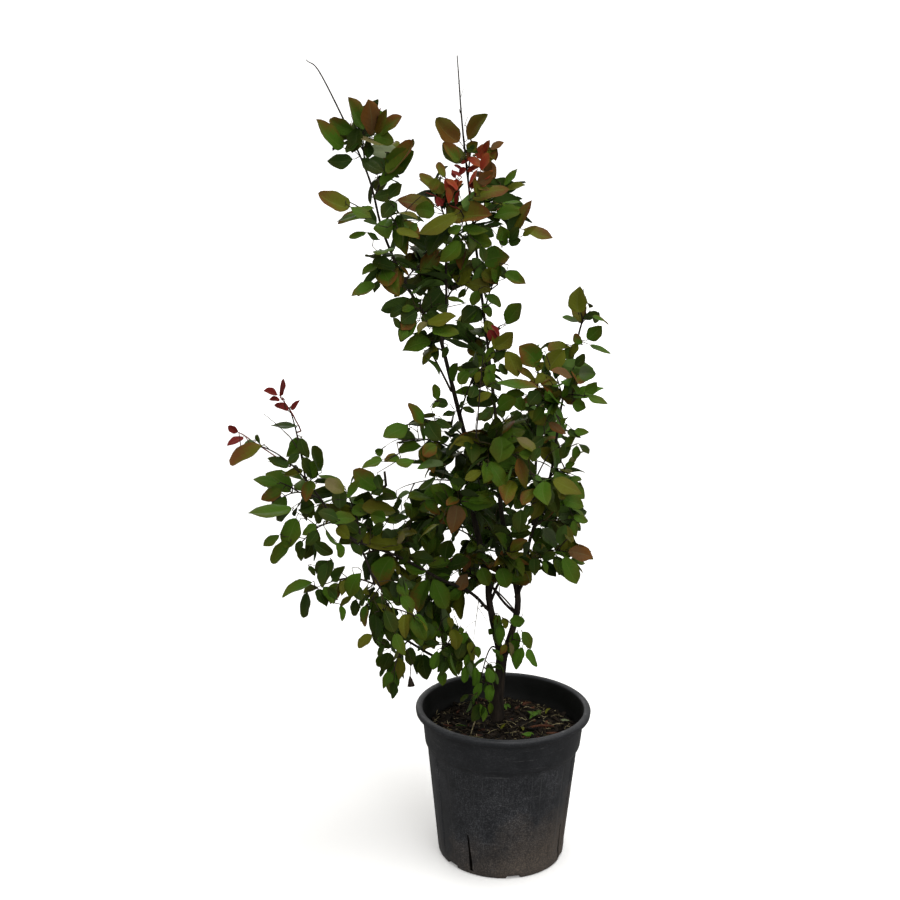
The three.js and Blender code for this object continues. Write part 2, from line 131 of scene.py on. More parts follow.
# Masses of leaves: limb, share along it, the stem's tip, reach, and leaf length and bow if special
MASSES = (
    ("upper_left_stem", 0.6, (-238, -40, 1214), 72),
    ("upper_left_stem", 0.4, (-263, -70, 1111), 48, 62),
    ("upper_left_stem", 0.52, (-190, 25, 1165), 60),
    ("upper_left_stem", 0.43, (-166, -90, 1090), 72),
    ("upper_left_stem", 0.31, (-207, -95, 1004), 60),
    ("upper_left_stem", 0.25, (-130, 60, 1005), 70),
    ("upper_left_stem", 0.1, (-150, -80, 945), 66),
    ("middle_stem", 1, (-125, 10, 1125), 72),
    ("middle_stem", 0.83, (-60, -60, 1075), 72),
    ("middle_stem", 0.38, (-75, 30, 985), 68),
    ("left_stem", 0.97, (-136, -60, 879), 48, 58),
    ("left_stem", 0.85, (-52, -80, 846), 56),
    ("left_stem", 0.8, (-130, -60, 765), 58),
    ("left_stem", 0.74, (-185, -120, 741), 58),
    ("left_stem", 0.66, (-190, 40, 630), 72),
    ("left_stem", 0.5, (-102, -120, 640), 76),
    ("left_stem", 0.42, (-138, 120, 541), 78),
    ("left_stem", 0.7, (-25, -120, 740), 74),
    ("left_stem", 0.19, (5, -60, 554), 66),
    ("right_stem", 0.82, (-62, 65, 1216), 66),
    ("right_stem", 0.78, (-14, 50, 1112), 74),
    ("right_stem", 0.69, (-24, 30, 984), 60),
    ("right_stem", 0.66, (0, 170, 902), 58),
    ("right_stem", 0.62, (-70, 170, 884), 60),
    ("right_stem", 0.48, (-25, 230, 610), 80),
    ("right_stem", 0.34, (-60, 205, 495), 80),
    ("right_stem", 0.12, (-85, 20, 498), 72),
    ("right_shoot", 1, (121, -16, 938), 56, 58),
    ("right_shoot", 0.81, (78, -60, 805), 80),
    ("right_shoot", 0.6, (100, -60, 680), 64),
    ("right_shoot", 0.44, (100, 80, 580), 70),
    ("right_shoot", 0.26, (100, -30, 545), 60),
    ("right_shoot", 0.54, (30, -130, 690), 76),
    ("rear_shoot", 0.5, (62, 195, 705), 78),
    ("rear_shoot", 1, (50, 125, 870), 62),
    ("left_bough", 1, (-351, -70, 794), 37, 46),
    ("left_bough", 0.94, (-400, -140, 744), 38, 46),
    ("left_bough", 0.82, (-365, -50, 640), 58),
    ("left_bough", 0.73, (-320, -155, 596), 66),
    ("left_bough", 0.62, (-262, -20, 635), 76),
    ("left_bough", 0.33, (-113, 30, 406), 76, 62),
    ("hanging_bough", 1, (-285, -165, 530), 68, 62),
    ("hanging_bough", 0.8, (-180, -130, 450), 78, 62),
    ("hanging_bough", 0.5, (-180, -30, 530), 78),
    ("low_bough", 1, (-184, -58, 353), 60, 56),
    ("low_bough", 0.55, (-90, -60, 395), 66, 58),
    ("trunk", 0.87, (-46, -45, 288), 33, 44, 60),
    ("trunk", 0.95, (17, -30, 393), 46, 50),
)

# The source's rule of growth
SEED = 7001
STEM_RADII = (1.6, 0.9)
STEM_BOW = 0.12
STEM_BARE = 0.14
SPACE_START = 0.3
TWIGS = 3
TWIG_RADII = (1.4, 0.9)
TWIG_LENGTH = 0.7
TWIG_BARE = 0.35
TWIG_FIRST = 0.39
TWIG_STEP = 0.18
GOLDEN_TURN = 2.4
LEAF_LENGTH = 74
LEAF_SPREAD = 0.85
LEAF_ROLLS = (0, 0.7, -0.7)
CROWN_AXIS = Vector((-60, 30, 0))
CROWN_FLATTENING = 0.25
TURN_CHANCE = 0.8
TWIG_SIZES = (0.75, 0.4)
TWIG_BOW = 0.05

# Rows and columns of a leaf's mesh, as shares of its length and half its width
LEAF_ROWS = (0.04, 0.12, 0.24, 0.37, 0.5, 0.63, 0.76, 0.87, 0.95)
LEAF_COLUMNS = (-1, -0.7, -0.36, -0.045, 0.045, 0.36, 0.7, 1)

# What is finer here than in the solids: more twigs, side twigs on them, and leaves of true size
FINE_TWIGS = 7
FINE_FIRST = 0.16
FINE_STEP = 0.13
FINE_RADII = (0.9, 0.5)
SIDE_RADII = (0.7, 0.4)
SIDE_SHARES = (0.4, 0.75)
SIDE_LENGTH = 0.6
SIDE_BARE = 0.3
SIDE_TURN = 2.2
LEAF_NODE = 12
TRUE_LEAF = 0.66
HIGHER_LEAF = 0.28
LEAF_SIZES = (0.72, 0.45)
LEAF_SHAPE = 0.6
LEAF_SHARES = (1, 0.8)
LEAF_APART = 12
LIMB_STEP = 4
LIMB_ROOM = 1.5
PETIOLE = 3.5
PETIOLE_SHARE = 0.1
STALK_RADII = (0.55, 0.45)
MOST_MISSING = 2
OWN_KIND = 0.75
RAGGED = 0.2
RAGGED_SIZE = 42

# Heights between which leaves grow larger, and below which those left of the trunk hang
LARGER_FROM, LARGER_TO = 550, 1000
HANGING_BELOW = 560
HANGING_LEFT_OF = -20

# The chance part of a leaf's form: the least value and what a draw adds to it
LEAF_FORMS = {
    "breadth": (0.9, 0.22), "arch": (0.3, 1.0), "fold": (0.22, 0.45), "curl": (0.05, 0.3),
    "wave": (0.015, 0.05), "phase": (0, 6.3), "foot_taper": (0.5, 0.4), "tip_taper": (0.6, 0.45),
    "twist": (-0.35, 0.7),
}
SWAY = 0.8
TINTS = 3

# Where a leaf is tested: shares along its midrib, and how far out from it for its length and width
FOOT_PROBE = 0.3
BELLY_PROBE = 0.55
PROBE_OUT = 0.42

# How far a side twig runs sideways, ahead and up, and how its length falls along its twig
SIDE_WAYS = (0.85, 0.65, 0.2)
SIDE_FALL = 1.3

# How far the leaves of a spray face up, outward and any way, and each leaf as its spray, up and any way
SPRAY_FACES = (0.55, 0.6, 1.6)
LEAF_FACES = (0.7, 0.6, 1.7)
LEAF_AHEAD = 0.6
TIP_SPREAD = 0.15
DROOP, HANGING_DROOP = 0.25, 0.9


# Random numbers, curves and the photo's view


def dice(seed):
    """Even random numbers from 0 to 1, the same row as the solids' own rule draws."""
    state = seed & 0xFFFFFFFF

    def draw():
        nonlocal state
        state = (state + 0x6D2B79F5) & 0xFFFFFFFF
        mixed = ((state ^ (state >> 15)) * (state | 1)) & 0xFFFFFFFF
        step = ((mixed ^ (mixed >> 7)) * (mixed | 61)) & 0xFFFFFFFF
        mixed = ((mixed + step) & 0xFFFFFFFF) ^ mixed
        return (mixed ^ (mixed >> 14)) / 4294967296

    return draw


def lean(draw):
    """A vector from the middle of a cube with sides of 1."""
    x, y, z = draw(), draw(), draw()
    return Vector((x - 0.5, y - 0.5, z - 0.5))


def turned(vector, axis, angle):
    return Quaternion(axis, angle) @ vector


LINE_STEPS = 60
NEARBY = 1e-4
NEARLY_ALONG = 0.9


class Line:
    """A straight or curved line, with its point and direction at a share from 0 to 1."""

    def __init__(self, point):
        self.point = point
        places = self.points(LINE_STEPS)
        self.length = sum((b - a).length for a, b in zip(places, places[1:]))

    def along(self, share):
        before, after = max(0, share - NEARBY), min(1, share + NEARBY)
        return (self.point(after) - self.point(before)).normalized()

    def points(self, steps):
        return [self.point(step / steps) for step in range(steps + 1)]


def through(places):
    """A smooth line through places, as the solids' limbs have it."""
    known = [Vector(place) for place in places]
    ends = [2 * known[0] - known[1], *known, 2 * known[-1] - known[-2]]

    def point(share):
        spot = share * (len(known) - 1)
        index = min(int(spot), len(known) - 2)
        t = spot - index
        before, start, end, after = ends[index : index + 4]
        leave, arrive = (end - before) / 2, (after - start) / 2
        bend = -3 * start + 3 * end - 2 * leave - arrive
        close = 2 * start - 2 * end + leave + arrive
        return start + leave * t + bend * t**2 + close * t**3

    return Line(point)


def bowed(start, tip, bow):
    """A line bowed upward between two places."""
    middle = (start + tip) / 2 + 2 * bow * UP
    return Line(lambda t: (1 - t) ** 2 * start + 2 * t * (1 - t) * middle + t**2 * tip)


def straight(start, tip):
    return Line(lambda t: start.lerp(tip, t))


def camera_axes():
    """The camera's right, upward and forward directions."""
    right = Vector((1, 0, 0))
    upward = Vector((0, math.sin(CAMERA_DOWN), math.cos(CAMERA_DOWN)))
    forward = Vector((0, math.cos(CAMERA_DOWN), -math.sin(CAMERA_DOWN)))
    turn, rise = math.cos(CAMERA_ROLL), math.sin(CAMERA_ROLL)
    return right * turn - upward * rise, right * rise + upward * turn, forward


VIEW_RIGHT, VIEW_UP, VIEW_AHEAD = camera_axes()


def in_photo(point):
    """The photo's pixel that a point of the plant falls on."""
    away = point - CAMERA_PLACE
    scale = FOCAL_PIXELS / away.dot(VIEW_AHEAD)
    half = PHOTO_SIDE / 2
    return half + away.dot(VIEW_RIGHT) * scale, half - away.dot(VIEW_UP) * scale


def at_pixel(x, y, depth):
    """The point behind a pixel of the photo at a distance behind the pot's middle plane."""
    half = PHOTO_SIDE / 2
    ray = VIEW_AHEAD * FOCAL_PIXELS + VIEW_RIGHT * (x - half) + VIEW_UP * (half - y)
    return CAMERA_PLACE + ray * ((depth - CAMERA_PLACE.y) / ray.y)


# Meshes


class Shape:
    """Points and faces of one piece, gathered from many parts."""

    def __init__(self):
        self.points = []
        self.faces = []

    def add(self, points, faces):
        first = len(self.points)
        self.points += [tuple(point) for point in points]
        self.faces += [tuple(first + corner for corner in face) for face in faces]

    def tube(self, line, radii, sides, rings, widen=None):
        """A closed tube along a line; widen(share, angle, centre, radius) gives its extra radius."""
        centres = line.points(rings)
        across = Vector((0, 1, 0)) if abs(line.along(0).x) > NEARLY_ALONG else ACROSS
        points = []
        for ring, centre in enumerate(centres):
            share = ring / rings
            along = (centres[min(ring + 1, rings)] - centres[max(ring - 1, 0)]).normalized()
            across = (across - along * along.dot(across)).normalized()
            beside = along.cross(across)
            for angle in turns(sides):
                radius = radii[0] + (radii[1] - radii[0]) * share
                if widen:
                    radius += widen(share, angle, centre, radius)
                points.append(centre + radius * (across * math.cos(angle) + beside * math.sin(angle)))
        self.add(points, skin(rings + 1, sides))


def turns(sides):
    """The angles of a full turn in even steps."""
    return [2 * math.pi * side / sides for side in range(sides)]


def rings_of(profile, sides):
    """Points on rings about the pot's axis, one ring for each radius and height."""
    around = [(math.cos(angle), math.sin(angle)) for angle in turns(sides)]
    return [(out * x, out * y, height) for out, height in profile for x, y in around]


def skin(rings, sides):
    """Faces of a closed skin over rings of points, with one face at each end."""
    faces = [tuple(range(sides))[::-1], tuple(range((rings - 1) * sides, rings * sides))]
    for ring in range(rings - 1):
        for side in range(sides):
            low, after = ring * sides, (side + 1) % sides
            faces.append((low + side, low + after, low + sides + after, low + sides + side))
    return faces


def new_object(name, points, faces, materials=(), smooth=True):
    """An object from points in millimetres."""
    mesh = bpy.data.meshes.new(name)
    mesh.from_pydata((np.asarray(points, dtype=float) * MM).tolist(), [], faces)
    mesh.polygons.foreach_set("use_smooth", [smooth] * len(mesh.polygons))
    for material in materials:
        mesh.materials.append(material)
    mesh.update()
    made = bpy.data.objects.new(name, mesh)
    bpy.context.scene.collection.objects.link(made)
    return made


def make_piece(name, points, faces, materials, replaces=(), smooth=True):
    """A piece of the plant or its pot, hung on the root body, which hides the nodes that it replaces."""
    piece = new_object(name, points, faces, materials, smooth)
    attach(piece, "root")
    if replaces:
        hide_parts(*replaces)
    return piece


# Materials

FLAKE_LIGHT = 1.7
VEIN_WAVES = 22.0
VEIN_SLANT = 0.5
VEIN_SHARPNESS = 0.4
RIB_SHARPNESS = 14.0
VEIN_HEIGHT = 0.35
GRAIN_FINER = 9


class Nodes:
    """A material's node tree, with short names for making and linking its nodes."""

    def __init__(self, name, roughness, specular=0.5):
        self.material = bpy.data.materials.new(name)
        self.material.use_nodes = True
        self.tree = self.material.node_tree
        self.shader = self.tree.nodes["Principled BSDF"]
        self.shader.inputs["Roughness"].default_value = roughness
        self.shader.inputs["Specular IOR Level"].default_value = specular
        self.place = self.tree.nodes.new("ShaderNodeTexCoord").outputs["Object"]

    def node(self, kind, **values):
        made = self.tree.nodes.new(kind)
        for key, value in values.items():
            setattr(made, key, value)
        return made

    def link(self, output, target):
        self.tree.links.new(output, target)

    def feed(self, value, socket):
        """Links an output to a socket, or gives the socket a number or a colour."""
        if isinstance(value, bpy.types.NodeSocket):
            self.link(value, socket)
        else:
            socket.default_value = (*value, 1) if isinstance(value, tuple) else value

    def noise(self, scale, detail=3, rough=0.55, stretch=None):
        made = self.node("ShaderNodeTexNoise")
        made.inputs["Scale"].default_value = scale
        made.inputs["Detail"].default_value = detail
        made.inputs["Roughness"].default_value = rough
        if stretch:
            mapping = self.node("ShaderNodeMapping")
            mapping.inputs["Scale"].default_value = stretch
            self.link(self.place, mapping.inputs["Vector"])
            self.link(mapping.outputs["Vector"], made.inputs["Vector"])
        else:
            self.link(self.place, made.inputs["Vector"])
        return made.outputs["Fac"]

    def ramp(self, value, stops):
        """A colour ramp from (place, colour) stops, with grey where a stop's colour is a number."""
        made = self.node("ShaderNodeValToRGB")
        elements = made.color_ramp.elements
        while len(elements) < len(stops):
            elements.new(0.5)
        for element, (place, colour) in zip(elements, stops):
            element.position = place
            element.color = (*colour, 1) if isinstance(colour, tuple) else (colour, colour, colour, 1)
        self.link(value, made.inputs["Fac"])
        return made.outputs["Color"]

    def mix(self, share, one, other):
        """One colour over another; each value may be an output or a constant."""
        made = self.node("ShaderNodeMix", data_type="RGBA")
        for name, value in (("Factor", share), ("A", one), ("B", other)):
            self.feed(value, made.inputs[name])
        return made.outputs["Result"]

    def maths(self, kind, one, other=0.0, third=0.0):
        made = self.node("ShaderNodeMath", operation=kind)
        for value, socket in zip((one, other, third), made.inputs):
            self.feed(value, socket)
        return made.outputs["Value"]

    def colour(self, output):
        self.link(output, self.shader.inputs["Base Color"])

    def roughness(self, output):
        self.link(output, self.shader.inputs["Roughness"])

    def bump(self, height, distance, strength=1.0):
        made = self.node("ShaderNodeBump")
        made.inputs["Distance"].default_value = distance * MM
        made.inputs["Strength"].default_value = strength
        self.link(height, made.inputs["Height"])
        self.link(made.outputs["Normal"], self.shader.inputs["Normal"])


def bark_material(name, dark, light, ridge):
    """Thin bark: long streaks, small pores and pale flakes."""
    nodes = Nodes(name, roughness=0.85, specular=0.15)
    streak = nodes.noise(220, 5, 0.6, stretch=(1, 1, 0.16))
    flake = nodes.noise(60, 4, 0.6, stretch=(1, 1, 0.4))
    base = nodes.ramp(streak, ((0.32, dark), (0.72, light)))
    pale = tuple(channel * FLAKE_LIGHT for channel in light)
    nodes.colour(nodes.mix(nodes.ramp(flake, ((0.6, 0.0), (0.75, 0.5))), base, pale))
    nodes.roughness(nodes.ramp(flake, ((0.3, 0.9), (0.7, 0.7))))
    nodes.bump(streak, ridge)
    return nodes.material


def leaf_material(name, colour, roughness=0.5, specular=0.05):
    """A leaf's skin: one base colour, with side veins and a slightly uneven gloss."""
    nodes = Nodes(name, roughness, specular)
    nodes.shader.inputs["Base Color"].default_value = (*colour, 1)
    layer = nodes.node("ShaderNodeUVMap", uv_map="leaf")
    split = nodes.node("ShaderNodeSeparateXYZ")
    nodes.link(layer.outputs["UV"], split.inputs["Vector"])
    out = nodes.maths("ABSOLUTE", nodes.maths("SUBTRACT", split.outputs["X"], 0.5))
    slant = nodes.maths("SUBTRACT", split.outputs["Y"], nodes.maths("MULTIPLY", out, VEIN_SLANT))
    wave = nodes.maths("SINE", nodes.maths("MULTIPLY", slant, VEIN_WAVES))
    vein = nodes.maths("POWER", nodes.maths("ABSOLUTE", wave), VEIN_SHARPNESS)
    rib = nodes.maths("MINIMUM", nodes.maths("MULTIPLY", out, RIB_SHARPNESS), 1.0)
    nodes.bump(nodes.maths("MULTIPLY", vein, rib), VEIN_HEIGHT, 0.5)
    grain = nodes.noise(160, 2)
    nodes.roughness(nodes.ramp(grain, ((0.3, roughness - 0.07), (0.7, roughness + 0.1))))
    return nodes.material


def grained_material(name, dark, light, scale=70, rough=0.9, ridge=0.3):
    """Small loose things: one colour that varies from bit to bit, with a rough grain."""
    nodes = Nodes(name, rough, specular=0.1)
    nodes.colour(nodes.ramp(nodes.noise(scale), ((0.35, dark), (0.68, light))))
    nodes.bump(nodes.noise(scale * GRAIN_FINER), ridge)
    return nodes.material


# Limbs

# Ridges and lumps of the bark, as shares of a limb's radius, and their length
RIDGE = 0.07
TRUNK_RIDGE = 0.1
RIDGE_ROUND = 2.2
RIDGE_LENGTH = 22
RIDGE_FINER = 1.4
LUMP = 0.09
LUMP_LENGTH = 60
LIMB_RING = 3.5

# Buds, on two sides in turn
BUD_APART = 38
BUD_FIRST = (11, 7, 5)
BUD_HEIGHT = 0.75
BUD_LENGTH = 2.4
BUD_TURN = 0.6
BUD_FULL_RADIUS = 3

limb_lines = {name: through(places) for name, (*_, places) in LIMBS.items()}


def bark_relief(name):
    """How much a limb's surface stands out: root flare, ridges, lumps and buds on two sides."""
    length = limb_lines[name].length
    ridge = TRUNK_RIDGE if name == "trunk" else RIDGE
    least, step, kinds = BUD_FIRST
    first_bud = least + step * (len(name) % kinds)

    def widen(share, angle, centre, radius):
        way = share * length
        spot = Vector((math.cos(angle) * RIDGE_ROUND, math.sin(angle) * RIDGE_ROUND, way / RIDGE_LENGTH))
        extra = radius * ridge * noise.noise(spot * RIDGE_FINER)
        extra += radius * LUMP * noise.noise(Vector((angle, 7, way / LUMP_LENGTH)))
        bud = (way - first_bud) / BUD_APART
        gap = (bud - round(bud)) * BUD_APART
        facing = math.cos(angle - BUD_TURN - (0 if round(bud) % 2 else math.pi))
        height = BUD_HEIGHT * min(1, radius / BUD_FULL_RADIUS)
        extra += height * math.exp(-((gap / BUD_LENGTH) ** 2)) * max(0, facing) ** 3
        if name == "trunk":
            rise = max(0, centre.z - SOIL_TOP)
            lobes = 0.75 + 0.25 * math.cos(FLARE_LOBES * angle)
            extra += radius * FLARE * lobes * math.exp(-rise / FLARE_HEIGHT)
        return extra

    return widen


def make_limbs():
    bark = bark_material("bark", (0.006, 0.005, 0.004), (0.028, 0.020, 0.014), 0.5)
    for name, (radii, sides, _) in LIMBS.items():
        shape = Shape()
        line = limb_lines[name]
        shape.tube(line, radii, sides, round(line.length / LIMB_RING), bark_relief(name))
        make_piece(f"{name}_bark", shape.points, shape.faces, [bark], [name])


# Growth of the masses


class Shoot:
    """A stem or twig, which is made only as far as it carries something."""

    def __init__(self, line, radii, bare, sides, parent=None, share=0):
        self.line = line
        self.radii = radii
        self.bare = bare
        self.sides = sides
        self.parent = parent
        self.root_share = share
        self.used = 0
        self.reached = 1

    def carry(self, share):
        """Notes that something grows at a share along the shoot."""
        self.used = max(self.used, share)
        if self.parent:
            self.parent.carry(self.root_share)

    def made(self):
        """The part of the line that is made."""
        return Line(lambda share: self.line.point(share * self.used))


class Mass:
    """The space of one mass of leaves, with the stem and twigs that grow in it."""

    def __init__(self, index, limb, share, tip, reach, leaf=LEAF_LENGTH, bow=None):
        self.index = index
        self.reach = reach
        self.leaf = leaf
        root, end = limb_lines[limb].point(share), Vector(tip)
        height = STEM_BOW * (end - root).length if bow is None else bow
        self.stem = bowed(root, end, height)
        self.start = self.stem.point(SPACE_START)
        self.tip = end
        self.shoots = [Shoot(self.stem, STEM_RADII, STEM_BARE, 6)]

    def inside(self, point, ragged=0):
        """Whether a point lies in the space of the mass, whose edge may be ragged."""
        axis = self.tip - self.start
        share = max(0, min(1, (point - self.start).dot(axis) / axis.length_squared))
        reach = self.reach * (1 - ragged * (0.5 - noise.noise(point / RAGGED_SIZE)))
        return (point - self.start - axis * share).length <= reach


def side_heading(along, turn):
    """A direction that leaves a shoot sideways at a turn round it and rises a little."""
    beside = along.cross(ACROSS if abs(along.z) > NEARLY_ALONG else UP).normalized()
    sideways, ahead, rise = SIDE_WAYS
    return (sideways * turned(beside, along, turn) + ahead * along + rise * UP).normalized()


def grow_twigs(mass):
    """The solids' own twigs, then finer ones between them and side twigs on all."""
    draw = dice(SEED + 100 * mass.index)
    for twig in range(TWIGS + FINE_TWIGS):
        fine = twig >= TWIGS
        share = FINE_FIRST + FINE_STEP * (twig - TWIGS) if fine else TWIG_FIRST + TWIG_STEP * twig
        turn = GOLDEN_TURN * (twig + mass.index) + TURN_CHANCE * draw()
        length = mass.reach * TWIG_LENGTH * (TWIG_SIZES[0] + TWIG_SIZES[1] * draw())
        root = mass.stem.point(share)
        tip = root + length * side_heading(mass.stem.along(share), turn)
        if not mass.inside(tip):
            continue
        line = bowed(root, tip, TWIG_BOW * length)
        twig_shoot = Shoot(line, FINE_RADII if fine else TWIG_RADII, TWIG_BARE, 5, mass.shoots[0], share)
        mass.shoots.append(twig_shoot)
        for hand, side_share in enumerate(SIDE_SHARES):
            side_root = line.point(side_share)
            heading = side_heading(line.along(side_share), turn + SIDE_TURN + math.pi * hand)
            side_tip = side_root + SIDE_LENGTH * length * (SIDE_FALL - side_share) * heading
            if mass.inside(side_tip):
                side_line = bowed(side_root, side_tip, 1)
                mass.shoots.append(Shoot(side_line, SIDE_RADII, SIDE_BARE, 4, twig_shoot, side_share))


class Leaf:
    """One leaf: where its stalk starts, which way it runs and faces, its size and its bends."""

    def __init__(self, root, along, face, length, kind, draw, width=LEAF_SHAPE):
        self.root = root
        self.along = along.normalized()
        self.side = face.cross(self.along).normalized()
        self.up = self.along.cross(self.side).normalized()
        self.length = length
        self.petiole = min(PETIOLE, PETIOLE_SHARE * length)
        self.kind = kind
        for form, (least, more) in LEAF_FORMS.items():
            setattr(self, form, least + more * draw())
        self.width = width * self.breadth
        self.hand = int(2 * draw())
        self.tint = int(TINTS * draw()) - 1
        self.sway = SWAY * (draw() - 0.5)

    def middle(self, share):
        """A point on the leaf's midrib, which bows upward between stalk and tip."""
        now = self.arch * (0.5 - share)
        ahead = (math.sin(self.arch / 2) - math.sin(now)) / self.arch
        rise = (math.cos(now) - math.cos(self.arch / 2)) / self.arch
        return self.root + self.along * (self.petiole + self.length * ahead) + self.up * self.length * rise

    def probes(self):
        """Points that stand for the leaf where it is tested against other things."""
        half = self.side * self.length * self.width * PROBE_OUT
        belly = self.belly()
        return [self.middle(FOOT_PROBE), belly, belly + half, belly - half, self.middle(1)]

    def belly(self):
        """The midrib's point where the blade is widest."""
        return self.middle(BELLY_PROBE)


